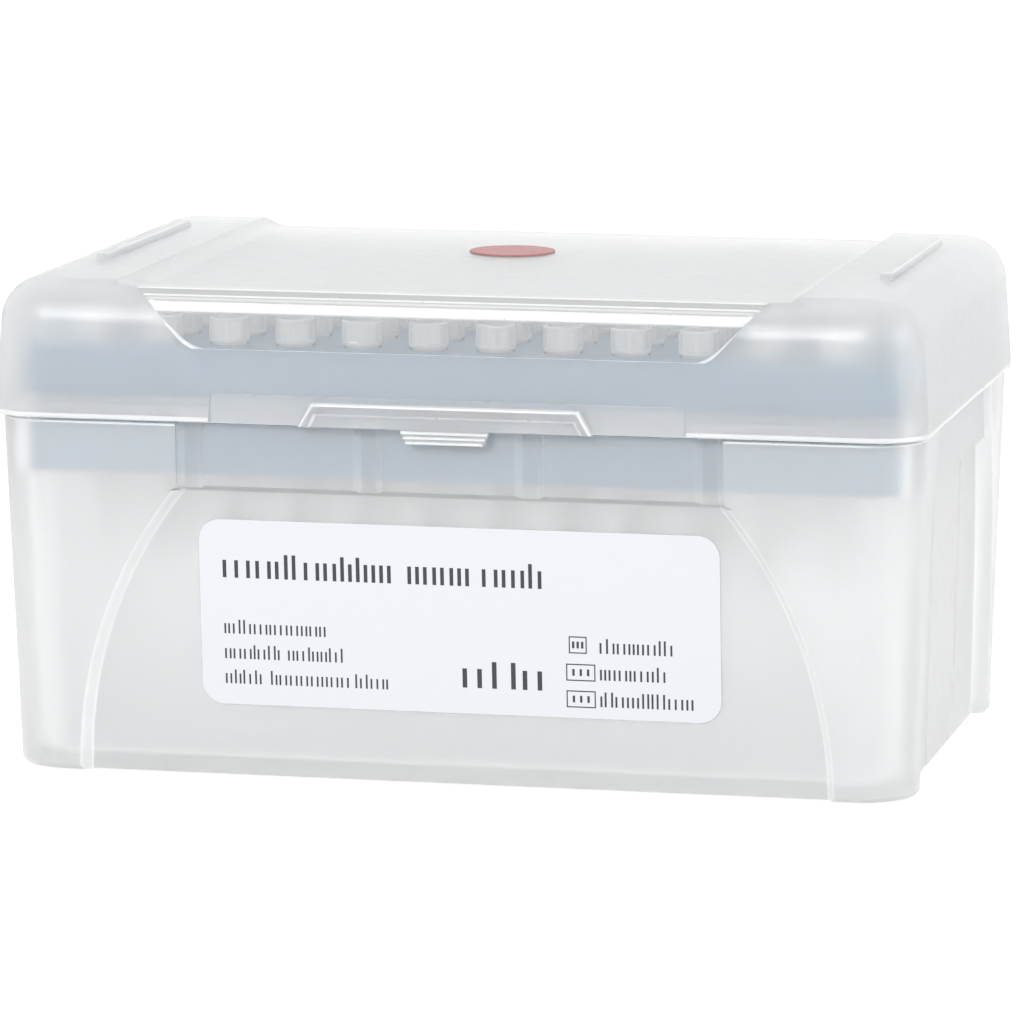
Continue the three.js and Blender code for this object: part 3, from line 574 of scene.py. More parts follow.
def label_paper():
    fibre = (3, 5)
    return varied_material(
        "label paper", colours().paper,
        tone=(*fibre, 0.985, 1), rough=(0.6, 3, 0.5, 0.62), bump=(*fibre, 0.004, 0.25),
        Specular_IOR_Level=0.35,
    )


def label_ink():
    return varied_material("label ink", colours().ink, tone=(4, 3, 1, 1.6), rough=(2, 3, 0.42, 0.55))


def dot_film():
    return varied_material(
        "indicator film", colours().dot,
        tone=(0.5, 3, 0.93, 1.05), rough=(1, 3, 0.4, 0.5), bump=(3, 3, 0.006, 0.3),
    )


# ---- Heights and half sizes that several pieces share ----

HALF_WIDTH = LID_HIGH.x

# How far what is cut away reaches past the pieces, just enough and amply.
PAST = 1.0
FAR = 10.0


def half_depth():
    """Half the lid's depth at its rim, without the latch."""
    return -LID_LOW.y - lid_settings().tongue_proud


def far_front():
    """A place well in front of the box, for what is cut away."""
    return -half_depth() - FAR


def lid_top():
    return LID_HIGH.z - shell_settings().rib_height


def panel_z():
    """Height of the lid's middle panel."""
    return lid_top() - lid_settings().block_rise


def rim_z():
    return HINGE.z + shell_settings().hinge_drop


def shoulder_z():
    return rim_z() - shell_settings().rim_gap


def ledge_z():
    """Height of the ledge that the tray stands on."""
    return shoulder_z() - base_settings().ledge_drop


def arch_top():
    return ledge_z() - base_settings().arch_drop


def hinge_places():
    place = HALF_WIDTH - shell_settings().hinge_margin
    return (-place, place)


# ---- Base ----


def base_half_width(z):
    base = base_settings()
    return HALF_WIDTH - base.set_back - base.side_draft * (1 - z / shoulder_z())


def base_half_depth(z):
    base = base_settings()
    return half_depth() - base.set_back - base.front_draft * (1 - z / shoulder_z())


def arch_depth(z):
    base = base_settings()
    return base.arch_depth_foot + (base.arch_depth_top - base.arch_depth_foot) * z / arch_top()


def arch_half(z, grow):
    """Half the arched panel's width at height z, grown by a bevel."""
    base = base_settings()
    centre = HALF_WIDTH - base.arch_margin - base.arch_radius
    return centre + math.sqrt((base.arch_radius + grow) ** 2 - z * z)


def side_half(z):
    """Half an end panel's width at height z."""
    base = base_settings()
    return base.side_half - base.side_lean * max(z / shoulder_z(), 0) ** 3


def base_loop(z, inset):
    """The base's outline at height z, moved in."""
    corner = base_settings().corner - inset
    return level_loop(base_half_width(z) - inset, base_half_depth(z) - inset, corner, z)


def base_body():
    """The base's outside, its neck and its inside as one closed shell."""
    shell, base = shell_settings(), base_settings()
    edge, foot = shell.edge, base.foot
    shoulder, ledge = shoulder_z(), ledge_z()
    loops = []
    for x, z in arc((0, foot), foot, -90, 0, 5):
        loops.append(base_loop(z, foot - x))
    for inset, z in rounding(shoulder, edge):
        loops.append(base_loop(z, inset))
    clearance = shell.wall + shell.clearance
    width, depth = HALF_WIDTH - clearance, half_depth() - clearance
    corner = lid_settings().corner - clearance
    loops.append(level_loop(width, depth, corner, shoulder))
    top = shoulder + base.neck_height
    for inset, z in rounding(top, edge):
        loops.append(level_loop(width - inset, depth - inset, corner - inset, z))
    width, depth = width - base.neck_wall, depth - base.neck_wall
    for inset, z in arc((-edge, top - edge), edge, 90, 0, 4):
        loops.append(level_loop(width - inset, depth - inset, base.inner_corner, z))
    loops.append(level_loop(width, depth, base.inner_corner, ledge))
    fillet = shell.wall
    for inset, z in [(0, ledge), *arc((fillet, base.floor + fillet), fillet, 180, 270, 5)]:
        width = base_half_width(z) - base.side_depth - shell.wall - inset
        depth = base_half_depth(z) - arch_depth(z) - shell.wall - inset
        loops.append(level_loop(width, depth, base.inner_corner - inset, z))
    # The shoulder's rounding takes a painted highlight, which turns the dark gap under the lid's rim into a
    # light line.
    outside, neck, underside = [THICK] * 6 + [PAINTED_HIGHLIGHT] * 4 + [THICK], [POLISHED] * 11, [THICK]
    inside = [FROSTED] * (len(loops) - len(outside + neck + underside))
    places = outside + neck + inside + underside
    return loft("base_shell", loops, paint=lambda ring, side: places[ring])


def sunk_panel(name, outline, place, far, bevel):
    """What is cut away over a sunk panel, with a soft edge all round it.

    Outline lists the panel's border grown by a bevel; place puts a border point at a share of the depth.
    """
    rounds = 10
    loops = []
    for share in shares(rounds):
        border = outline(bevel * share)
        loops.append([Vector(place(across, z, 1 - soft_step(share))) for across, z in border])
    loops.append([Vector(far(p)) for p in loops[-1]])
    top = len(loops[0]) // 2 - 1
    # The soft edge is painted light, except along the top, which together with the panel's floor takes painted
    # shade.
    return loft(name, loops, paint=lambda ring, side: EDGE_PAINTED_LIGHT if ring <= rounds and side != top else PANEL_PAINTED_SHADE)


def arch_recess():
    steps = 28

    def outline(grow):
        heights = [(arch_top() + grow) * share for share in shares(steps)]
        return symmetric([(arch_half(0, grow), -PAST)] + [(arch_half(z, grow), z) for z in heights])

    def place(x, z, share):
        return (x, arch_depth(z) * share - base_half_depth(z) - HAIR * (1 - share), z)

    return sunk_panel("arch_recess", outline, place, lambda p: (p.x, far_front(), p.z), base_settings().bevel)


def side_panel(name, bottom, top, depth, half, bevel, middle=0.0):
    """What is cut away over a sunk part of the right-hand end; half gives its half width at a height."""
    steps = 14

    def outline(grow):
        heights = [bottom + (top + grow - bottom) * share for share in shares(steps)]
        return [(middle + across, z) for across, z in symmetric([(half(z) + grow, z) for z in heights])]

    def place(y, z, share):
        return (base_half_width(z) - depth * share + HAIR * (1 - share), y, z)

    return sunk_panel(name, outline, place, lambda p: (HALF_WIDTH + FAR, p.y, p.z), bevel)


def end_tools():
    """Everything that is cut away at the right-hand end of the base."""
    base = base_settings()
    top = ledge_z() - base.side_drop
    groove_depth, groove_half, groove_bevel = 0.4, 0.5, 0.5
    tools = [
        side_panel("side_recess", -PAST, top, base.side_depth, side_half, base.bevel),
        side_panel("side_band", top, shoulder_z() + PAST, base.side_band, side_half, base.bevel),
    ]
    for middle in (-base.side_groove, base.side_groove):
        depth, half = base.side_depth + groove_depth, lambda z: groove_half
        tools.append(side_panel("side_groove", -PAST, top, depth, half, groove_bevel, middle))
    return tools


def turned_half(tools):
    """Turns tools half round, to the other side of the box."""
    for tool in tools:
        tool.data.transform(Matrix.Rotation(math.pi, 4, "Z"))
    return tools


def band_floor():
    return base_settings().band_depth - base_half_depth(shoulder_z())


def band_recess():
    """The band over the arch, as deep as the face of its pads."""
    half, bottom, top = arch_half(arch_top(), 0), arch_top(), shoulder_z() + FAR
    face = band_floor() - base_settings().pad_proud
    rounds, grow, depth = 5, 0.6, 0.3
    loops = []
    for share in shares(rounds):
        angle = math.pi / 2 * share
        wide, low = half + grow * (1 - math.cos(angle)), bottom - grow * (1 - math.cos(angle))
        y = face - depth * math.sin(angle)
        loops.append(upright(symmetric([(wide, low), (wide, top)]), y))
    loops.append(at_depth(loops[-1], far_front()))
    # Painted light: the rounded edge and the band's face take lighter copies of the plastic, over the shade
    # under the ledge.
    return loft("band_recess", loops, paint=lambda ring, side: EDGE_PAINTED_LIGHT if ring < rounds else BAND_PAINTED_LIGHT)


def pad_groove(left, right):
    """A round-edged channel between two pads, which widens round their lower corners."""
    base = base_settings()
    lift, narrowing, overlap = 0.1, 0.15, 0.01
    floor, bottom, top = band_floor(), arch_top() + lift, shoulder_z() + FAR
    corner = base.pad_corner
    rounds, soft = 8, 1.0
    loops = []
    for share in shares(rounds):
        grow = soft * share - narrowing
        y = floor - (base.pad_proud + overlap) * soft_step(share)
        flare = arc((corner, bottom + corner), corner, 270, 180, 5)
        right_half = [(right + grow + x, z) for x, z in flare] + [(right + grow, top)]
        left_half = [(left - grow, top)] + [(left - grow - x, z) for x, z in reversed(flare)]
        loops.append(upright(right_half + left_half, y))
    loops.append(at_depth(loops[-1], far_front()))
    # The groove's floor takes the band's painted light.
    return loft("pad_groove", loops, paint=lambda ring, side: THICK if ring < rounds else BAND_PAINTED_LIGHT)


def pad_grooves():
    base = base_settings()
    outer = arch_half(arch_top(), 0)
    inner = base.pad_half + base.pad_groove
    spans = (
        (-outer, base.pad_groove - outer),
        (-inner, -base.pad_half),
        (base.pad_half, inner),
        (outer - base.pad_groove, outer),
    )
    return [pad_groove(left, right) for left, right in spans]


def catch_ridge():
    """The ridge on the middle pad that holds the latch shut."""
    half, drop, height, proud, edge = 4.5, 0.4, 0.8, 0.3, 0.1
    face = band_floor() - base_settings().pad_proud
    top = shoulder_z() - drop
    return block("catch_ridge", -half, half, face - proud, face + proud, top - height, top, edge)


def hinge_ears(x):
    """A pair of ears on the base that holds the pins of one knuckle."""
    shell = shell_settings()
    root = 7.0
    wall = base_half_depth(HINGE.z) - shell.wall / 2
    under = shell.ear_radius * math.sqrt(0.5)
    outline = [
        (wall, HINGE.z - root),
        (wall + shell.wall, HINGE.z - root),
        (HINGE.y + under, HINGE.z - under),
        (HINGE.y, HINGE.z + shell.pin_radius),
        (wall, HINGE.z + shell.pin_radius),
    ]
    ears = []
    for left in (x + shell.ear_spacing / 2, x - shell.ear_spacing / 2 - shell.ear_thickness):
        right = left + shell.ear_thickness
        ear = along_x("ear", outline, left, right)
        join(ear, rod("ear_round", HINGE.y, HINGE.z, shell.ear_radius, left, right))
        bore = shell.pin_radius + shell.pin_play
        cut(ear, rod("ear_bore", HINGE.y, HINGE.z, bore, left - PAST, right + PAST))
        ears.append(ear)
    return ears


def stacking_groove(side):
    """A groove under the base that takes one rib of the lid below."""
    shell = shell_settings()
    play, headroom, corner = 0.5, 0.1, 0.8
    x = side * (HALF_WIDTH - shell.rib_margin)
    half, reach = shell.rib_width / 2 + play, shell.rib_length / 2 + play
    top = shell.rib_height + headroom
    front, back = shell.rib_y - reach, shell.rib_y + reach
    return block("stacking_groove", x - half, x + half, front, back, -PAST, top, corner)


class TIPBOX_OT_base(bpy.types.Operator):
    """Build the frosted base"""

    bl_idname = "tip_box.base"
    bl_label = "Base"

    def execute(self, context):
        base = base_body()
        cut(base, arch_recess(), *turned_half([arch_recess()]), *end_tools(), *turned_half(end_tools()))
        cut(base, band_recess(), *pad_grooves(), stacking_groove(-1), stacking_groove(1))
        join(base, catch_ridge())
        for x in hinge_places():
            join(base, *hinge_ears(x))
        smooth(base)
        finish_piece(base, "base", nodes=["base"])
        return {"FINISHED"}


# ---- Lid ----


def fillet_inset(z, top, radius):
    """How far a rounded top edge has drawn in at height z."""
    rise = z - (top - radius)
    return radius - math.sqrt(max(radius * radius - rise * rise, 0)) if rise > 0 else 0.0


def lid_loop(z, wall, inset=0.0):
    """The lid's outline at height z, moved in by a wall."""
    lid = lid_settings()
    share = (z - rim_z()) / (lid_top() - rim_z())
    front = fillet_inset(z, lid_top() - wall, lid.fillet - wall)
    back = fillet_inset(z, lid_top() - wall, lid.back_fillet - wall)
    half_width = HALF_WIDTH - wall - inset - lid.side_draft * share - front
    depth = half_depth() - wall - inset - lid.front_draft * share
    corner = lid.corner - wall - inset - front
    return rounded_loop(-half_width, half_width, front - depth, depth - back, corner, z)


def lid_body(name, wall, bottom):
    """The lid's outside, or its hollow where a wall is given; round the outside, the rim's rounded edge takes
    a painted highlight and a band above it takes painted light.
    """
    edge, pale = shell_settings().edge, 2.0
    radius = lid_settings().fillet - wall
    rim = [] if wall else arc((edge, bottom + edge), edge, 270, 180, 4) + [(0, bottom + 2 * edge)]
    loops = [lid_loop(z, 0, inset) for inset, z in rim] or [lid_loop(bottom, wall)]
    if rim:
        loops.append(lid_loop(bottom + pale, 0))
    for inset, rise in arc((0, 0), radius, 0, 90, 16):
        loops.append(lid_loop(lid_top() - wall - radius + rise, wall))
    # The rim's rounded edge takes a painted highlight, and the band up to the pale height above it takes
    # painted light.
    places = [PAINTED_HIGHLIGHT] * (len(rim) - 1) + [BAND_PAINTED_LIGHT] * bool(rim)
    places += [FROSTED] * (len(loops) - len(places))
    return loft(name, loops, paint=lambda ring, side: places[ring])


def over_middle(floor, widening):
    """The space over the lid's middle, between the soft slopes of its end blocks with their thin creases."""
    lid = lid_settings()
    start = HALF_WIDTH - lid.block_width - lid.block_slope + widening
    steps, crease, stretch = 12, 2, 1.25
    width = lid.block_slope * stretch
    right = []
    for share in shares(steps):
        right.append((start + width * share, floor + (lid.block_rise + HAIR) * share * share))
    right.append((start + width, floor + FAR))
    # The slopes are painted with the panel's copy, which evens out the darker shading they would get; the two
    # top faces keep the plain plastic, so a thin darker crease stays along the top.
    slope = [PANEL_PAINTED_SHADE] * (steps - crease) + [FROSTED] * crease
    places = slope + [FROSTED] * 3 + slope[::-1] + [FROSTED]
    return along_y("over_middle", symmetric(right), far_front(), -far_front(), lambda side: places[side])


def across_lid(name, outline, paint):
    """Extrudes an outline of (y, z) points along X, well past both ends of the lid."""
    return along_x(name, outline, -HALF_WIDTH - FAR, HALF_WIDTH + FAR, paint)


def lip_front():
    lid = lid_settings()
    return -half_depth() + lid.window_recess + lid.band_depth + lid.step


def lip_step(front):
    """The small step across the lip's front, from its upper end down to the foot of the lip."""
    step = lid_settings().step
    return [(front, panel_z()), (front - step, panel_z() - step), (front - step, panel_z() - PAST)]


def panel_lip():
    """The low lip along the front of the middle panel."""
    lid = lid_settings()
    steps, rounds, edge, ahead = 8, 5, 0.3, 0.05
    front, top = lip_front() - ahead, panel_z() + lid.lip_height - ahead
    outline = [(front + lid.lip_width, panel_z() - PAST)]
    for share in shares(steps):
        y = front + lid.lip_width - lid.lip_ramp * share
        outline.append((y, panel_z() + (top - panel_z()) * soft_step(share)))
    outline += arc((front + edge, top - edge), edge, 90, 180, rounds)
    outline += lip_step(front)
    # The lip's rounded front edge takes a painted highlight.
    last = 2 + steps + rounds
    return across_lid(
        "panel_lip", outline, lambda side: PAINTED_HIGHLIGHT if last - rounds <= side < last else FROSTED
    )


def window_bottom():
    return TRAY_HIGH.z + lid_settings().window_sill


def window_outline(grow=0.0):
    """The window's front outline: slanting ends and round lower corners."""
    lid = lid_settings()
    top_half = HALF_WIDTH - lid.block_width - lid.window_gap
    bottom_half = top_half - lid.window_slant
    slope = lid.window_slant / (panel_z() - window_bottom())
    radius, steps = 1.8, 8
    right = []
    for share in shares(steps):
        x = bottom_half - radius * (1 - share) ** 2 + slope * radius * share ** 2
        right.append((x + grow, window_bottom() - grow + radius * share ** 2))
    lip_half = top_half + slope * lid.lip_height + grow
    return symmetric(right + [(lip_half, panel_z() + lid.lip_height), (lip_half, lid_top() + FAR)])


def window_brow():
    """The part of the lip that stands out of the lid's rounded front over the window."""
    # The brow's ends take a painted highlight.
    ends = along_y("brow_ends", window_outline(), far_front(), 0, lambda side: PAINTED_HIGHLIGHT)
    return combine(panel_lip(), [ends], "INTERSECT")


def window_face(bottom, wall):
    """The window's face and the slanting band over it, from bottom to top, moved back by a wall."""
    lid = lid_settings()
    face = -half_depth() + lid.window_recess + wall
    top = panel_z() - lid.band_drop
    return [(face, bottom), (face, top - lid.band_height), (face + lid.band_depth, top)]


def window_recess():
    """The space in front of the window: its face, the slanting band, and the fine step across the lip."""
    lid = lid_settings()
    front, far, high = lip_front(), far_front(), lid_top() + FAR
    top, foot = lip_step(front)[:2]
    profile = [
        (far, high),
        (far, window_bottom()),
        *window_face(window_bottom(), 0),
        foot,
        top,
        (front, high),
    ]
    # Painted light and shade: the sill, the slanting band and the step's ledge take a painted highlight, the
    # band standing for a lamp's reflection; the two faces of the step take painted shade.
    places = (EDGE_PAINTED_LIGHT, PAINTED_HIGHLIGHT, POLISHED, PAINTED_HIGHLIGHT, PAINTED_SHADE, PAINTED_HIGHLIGHT, PAINTED_SHADE, EDGE_PAINTED_LIGHT)
    slab = across_lid("window_recess", profile, lambda side: places[side])
    soft, rounds, overshoot = 1.3, 8, 1.02
    loops = [upright(window_outline(), 0)]
    for share in shares(rounds):
        angle = math.pi / 2 * share
        y = -half_depth() + lid.window_recess * (1 - overshoot * math.sin(angle))
        loops.append(upright(window_outline(soft * (1 - math.cos(angle))), y))
    loops.append(at_depth(loops[-1], far + PAST))
    # The window's rounded ends are painted light.
    ends = loft("window_ends", loops, paint=lambda ring, side: EDGE_PAINTED_LIGHT)
    return combine(slab, [ends], "INTERSECT")


def window_backing():
    """What the hollow leaves standing behind the window, with a polished face."""
    lid = lid_settings()
    low, far = window_bottom() - FAR, far_front()
    face = window_face(low, lid.window_wall)
    profile = [(far, low), *face, (face[-1][0], lid_top() + FAR), (far, lid_top() + FAR)]
    slab = across_lid("window_backing", profile, lambda side: POLISHED if side in (1, 2) else FROSTED)
    ends = along_y("backing_ends", window_outline(lid.window_wall), far + PAST, 0)
    return combine(slab, [ends], "INTERSECT")


def latch_field():
    """The shallow field round the latch, with a soft edge whose top takes a painted highlight; its floor takes
    painted light.
    """
    lid = lid_settings()
    front, edge, low, top_side = -half_depth(), 0.4, rim_z() - PAST, 1
    levels = ((0, lid.field_recess), (edge * 0.3, lid.field_recess * 0.4), (edge, -HAIR / 2), (edge, -FAR))
    loops = []
    for grow, y in levels:
        half, top = lid.field_half + grow, rim_z() + lid.field_height + grow
        loops.append(upright(symmetric([(half, low), (half, top)]), front + y))
    return loft(
        "latch_field", loops,
        paint=lambda ring, side: BAND_PAINTED_LIGHT if ring >= 2 else PAINTED_HIGHLIGHT if side == top_side else FROSTED,
    )


def tongue_face():
    return -half_depth() - lid_settings().tongue_proud


def tongue():
    """The latch's tongue over the rim, with a step along its foot."""
    lid, edge, face = lid_settings(), shell_settings().edge, tongue_face()
    skin = -half_depth() + shell_settings().wall / 2
    top = rim_z() + lid.tongue_height

    def outline(inset):
        return symmetric([(lid.tongue_bottom - inset, rim_z()), (lid.tongue_top - inset, top - inset)])

    rounds = 4
    loops = [upright(outline(0), skin)]
    for inset, y in arc((edge, face + edge), edge, 180, 270, rounds):
        loops.append(upright(outline(inset), y))
    # The tongue's sides and rounded edges take a painted highlight, and so does the side of its step below.
    body = loft("tongue", loops, paint=lambda ring, side: PAINTED_HIGHLIGHT if ring <= rounds else FROSTED)
    slant = (lid.tongue_bottom - lid.tongue_top) / lid.tongue_height
    half = lid.tongue_bottom - lid.step_inset
    rise, soft = lid.step_height, 0.3
    loops = []
    for grow, y in ((0, lid.step_depth), (soft, -HAIR / 2), (soft, -FAR)):
        foot = (half + slant * PAST + grow, rim_z() - PAST)
        top = (half - slant * rise + grow, rim_z() + rise + grow)
        loops.append(upright(symmetric([foot, top]), face + y))
    return cut(body, loft("tongue_step", loops, paint=lambda ring, side: PAINTED_HIGHLIGHT if ring == 0 else FROSTED))


def tab():
    """The thumb tab under the tongue, with level ridges for grip."""
    lid = lid_settings()
    face = tongue_face() + lid.step_depth
    bottom = rim_z() - lid.tab_drop
    outline = symmetric([(lid.tab_bottom, bottom), (lid.tab_top, rim_z() + PAST)])
    # The tab's sides and the faces of its ridges are painted light, for bright stripes.
    body = along_y("tab", outline, face, face + lid.tab_thickness, lambda side: EDGE_PAINTED_LIGHT)
    ridges, ridge_height, slope_low, slope_high = 3, 0.5, 0.1, 0.32
    spacing = lid.tab_drop / ridges
    widening = (lid.tab_top - lid.tab_bottom) / ridges
    for i in range(ridges):
        low = bottom + spacing * i + HAIR
        half = lid.tab_bottom + widening * i
        back, front = face + lid.tab_ridge / 2, face - lid.tab_ridge
        ridge = [
            (back, low), (front, low + slope_low), (front, low + slope_high), (back, low + ridge_height)
        ]
        join(body, along_x("tab_ridge", ridge, -half, half, lambda side: EDGE_PAINTED_LIGHT))
    return body


def stacking_rib(side):
    """One rib of the pair that keeps a stacked box in place, with its rounded top painted light."""
    shell = shell_settings()
    x, reach, half = side * (HALF_WIDTH - shell.rib_margin), shell.rib_length / 2, shell.rib_width / 2
    corner = half - 0.32
    # The rise, as a share of the rib's height where it's over the lid, and how far sides and ends draw in.
    levels = [(-shell.wall / 2, 0, 0), (0, 0, 0), (0.5, 0.04, 0.2), (0.85, 0.15, 0.6), (1.0, 0.3, 1.0)]
    loops = []
    for rise, narrow, end in levels:
        front, back = shell.rib_y - reach + end, shell.rib_y + reach - end
        width = half - narrow
        z = lid_top() + (rise * shell.rib_height if rise > 0 else rise)
        loops.append(rounded_loop(x - width, x + width, front, back, corner, z, 4))
    return loft("stacking_rib", loops, paint=lambda ring, side: EDGE_PAINTED_LIGHT if ring == len(levels) - 2 else FROSTED)


def heel_reach(opening, angle, thickness):
    """The heel's length: its upper corner comes just clear of the base's back when the lid is fully open."""
    gap = 0.1
    turned = math.radians(opening - angle)
    room = HINGE.y - base_half_depth(HINGE.z) - gap
    return (room - abs(math.sin(turned)) * thickness / 2) / abs(math.cos(turned))


def knuckle(x):
    """One knuckle of the hinge, with its arm, its stub pins and the heel that stops the open lid."""
    shell = shell_settings()
    side_gap, knuckle_wall, arm_thickness, arm_rise = 0.35, 1.0, 3.0, 6.0
    heel_angle, heel_thickness = -35.0, 1.4
    half = shell.ear_spacing / 2 - side_gap
    pin_half = shell.ear_spacing / 2 + shell.ear_thickness
    skin = half_depth() - shell.wall / 2
    front = half_depth() - base_settings().set_back / 2
    body = rod("knuckle", HINGE.y, HINGE.z, shell.pin_radius + knuckle_wall, x - half, x + half)
    arm = along_x("arm", [
        (front, HINGE.z),
        (front + arm_thickness, HINGE.z),
        (front + arm_thickness, rim_z()),
        (skin, rim_z() + arm_rise),
        (skin, rim_z()),
        (front, rim_z()),
    ], x - half, x + half)
    pins = rod("pins", HINGE.y, HINGE.z, shell.pin_radius, x - pin_half, x + pin_half)
    angle = math.radians(heel_angle)
    opening = frame["joints"][0]["range_deg"][1]
    along = Vector((math.cos(angle), math.sin(angle))) * heel_reach(opening, heel_angle, heel_thickness)
    across = Vector((-math.sin(angle), math.cos(angle))) * heel_thickness / 2
    centre = Vector((HINGE.y, HINGE.z))
    corners = [centre - across, centre + along - across, centre + along + across, centre + across]
    heel = along_x("heel", [tuple(c) for c in corners], x - half, x + half)
    return join(body, arm, pins, heel)


class TIPBOX_OT_lid(bpy.types.Operator):
    """Build the frosted lid with its clear window"""

    bl_idname = "tip_box.lid"
    bl_label = "Lid"

    def execute(self, context):
        wall = shell_settings().wall
        lid = lid_body("lid_shell", 0.0, rim_z())
        cut(lid, cut(over_middle(panel_z(), 0.0), panel_lip()))
        cut(join(lid, window_brow()), window_recess(), latch_field())
        join(lid, tongue(), tab(), stacking_rib(-1), stacking_rib(1))
        for x in hinge_places():
            join(lid, knuckle(x))
        hollow = lid_body("hollow", wall, rim_z() - PAST)
        cut(hollow, over_middle(panel_z() - wall, wall / 2), window_backing())
        cut(lid, hollow)
        smooth(lid)
        finish_piece(lid, "lid", nodes=["lid"])
        return {"FINISHED"}


# ---- Repeats made with Geometry Nodes ----


def grid_tree():
    """A node tree that puts a copy of a source mesh at each tip's place."""
    tree = bpy.data.node_groups.new("tip grid", "GeometryNodeTree")
    tree.interface.new_socket("Geometry", in_out="OUTPUT", socket_type="NodeSocketGeometry")
    sockets = {"Source": "Object", "Material": "Material", "Columns": "Int", "Rows": "Int", "Pitch": "Float"}
    for name, kind in sockets.items():
        tree.interface.new_socket(name, in_out="INPUT", socket_type="NodeSocket" + kind)
    inputs = tree.nodes.new("NodeGroupInput").outputs

    def add(kind, **sources):
        """Adds a node and joins each of its named inputs to an output."""
        node = tree.nodes.new(kind)
        for key, output in sources.items():
            tree.links.new(output, node.inputs[key.replace("_", " ")])
        return node

    sizes = {}
    for axis, count in (("X", "Columns"), ("Y", "Rows")):
        size = tree.nodes.new("ShaderNodeMath")
        size.operation = "MULTIPLY"
        spaces = tree.nodes.new("ShaderNodeMath")
        spaces.operation = "SUBTRACT"
        spaces.inputs[1].default_value = 1.0
        tree.links.new(inputs[count], spaces.inputs[0])
        tree.links.new(spaces.outputs[0], size.inputs[0])
        tree.links.new(inputs["Pitch"], size.inputs[1])
        sizes["Size_" + axis] = size.outputs[0]
        sizes["Vertices_" + axis] = inputs[count]
    grid = add("GeometryNodeMeshGrid", **sizes)
    source = add("GeometryNodeObjectInfo", Object=inputs["Source"])
    copies = add(
        "GeometryNodeInstanceOnPoints", Points=grid.outputs["Mesh"], Instance=source.outputs["Geometry"]
    )
    whole = add("GeometryNodeRealizeInstances", Geometry=copies.outputs["Instances"])
    painted = add("GeometryNodeSetMaterial", Geometry=whole.outputs["Geometry"], Material=inputs["Material"])
    add("NodeGroupOutput", Geometry=painted.outputs["Geometry"])
    return tree


def on_grid(name, source, material=None):
    """One mesh with a copy of the source at every tip's place."""
    tips = tip_settings()
    tree = bpy.data.node_groups.get("tip grid") or grid_tree()
    holder = new_object(name, bpy.data.meshes.new(name))
    modifier = holder.modifiers.new("grid", "NODES")
    modifier.node_group = tree
    values = {
        "Source": source,
        "Material": material,
        "Columns": tips.columns,
        "Rows": tips.rows,
        "Pitch": tips.pitch,
    }
    for item in tree.interface.items_tree:
        if item.in_out == "INPUT":
            modifier[item.identifier] = values[item.name]
    bake(holder)
    bpy.data.objects.remove(source)
    return holder


# ---- Tray ----


class TIPBOX_OT_tray(bpy.types.Operator):
    """Build the blue tray with its grid of holes"""

    bl_idname = "tip_box.tray"
    bl_label = "Tray"

    def execute(self, context):
        tips, edge = tip_settings(), 0.6
        width, depth, top, bottom = TRAY_HIGH.x, TRAY_HIGH.y, TRAY_HIGH.z, TRAY_LOW.z
        corner = base_settings().inner_corner - shell_settings().clearance
        loops = [level_loop(width, depth, corner, bottom)]
        for inset, z in rounding(top, edge, 5):
            loops.append(level_loop(width - inset, depth - inset, corner - inset, z))
        skirt = tips.skirt
        width, depth, corner = width - skirt, depth - skirt, corner - skirt
        inner = [level_loop(width, depth, corner, z) for z in (bottom - PAST, top - tips.plate)]
        tray = cut(loft("tip_tray_body", loops), loft("tray_hollow", inner))
        radius = tips.barrel_radius + tips.hole_play
        bore = [turned_loop(radius, z, 24) for z in (top - tips.plate - PAST, top + PAST)]
        cut(tray, on_grid("holes", loft("hole", bore)))
        smooth(tray)
        finish_piece(tray, "base", tray_plastic(), ["tip_tray"])
        return {"FINISHED"}


# ---- Tips and filters ----


def turned_loop(radius, z, sides):
    """Points round a level circle, or round a ribbed one where radius is a function of the side."""
    loop = []
    for i in range(sides):
        reach = radius(i) if callable(radius) else radius
        loop.append(Vector((reach, 0, z)))
        loop[-1].rotate(Matrix.Rotation(2 * math.pi * i / sides, 3, "Z"))
    return loop


class TIPBOX_OT_tips(bpy.types.Operator):
    """Build the ninety-six tips"""

    bl_idname = "tip_box.tips"
    bl_label = "Tips"

    def execute(self, context):
        tips = tip_settings()
        top, bottom = TIP_HIGH.z, TIP_LOW.z
        collar = (TIP_HIGH.x - TIP_LOW.x) / 2 - HAIR
        shallow, per_rib, rim, slant, edge, lip = 0.22, 4, 0.5, 0.05, 0.1, 0.15
        blunt = 0.75
        ribbed = lambda i: collar if i % per_rib < 2 else collar - shallow
        under, shoulder = top - tips.collar_height, top - tips.shoulder
        mouth, narrow = tips.barrel_radius - tips.wall, tips.barrel_radius - tips.taper
        profile = [
            (tips.point_radius * blunt, bottom),
            (tips.point_radius, bottom + 2 * edge),
            (narrow, shoulder),
            (tips.barrel_radius, under),
            (collar - edge, under),
            (collar, under + edge),
            (collar, under + rim),
            (ribbed, under + rim + slant),
            (ribbed, top - rim - slant),
            (collar, top - rim),
            (collar, top - lip),
            (collar - lip, top),
            (mouth + lip, top),
            (mouth, top - edge - lip),
            (narrow - tips.wall, shoulder),
            (tips.point_bore, bottom),
        ]
        loops = [turned_loop(r, z, tips.ribs * per_rib) for r, z in profile]
        tip = loft("tip", loops, closed=True)
        smooth(tip, 30)
        material = tip_plastic()
        finish_piece(on_grid("tips", tip, material), "base", material, TIP_NODES)
        return {"FINISHED"}


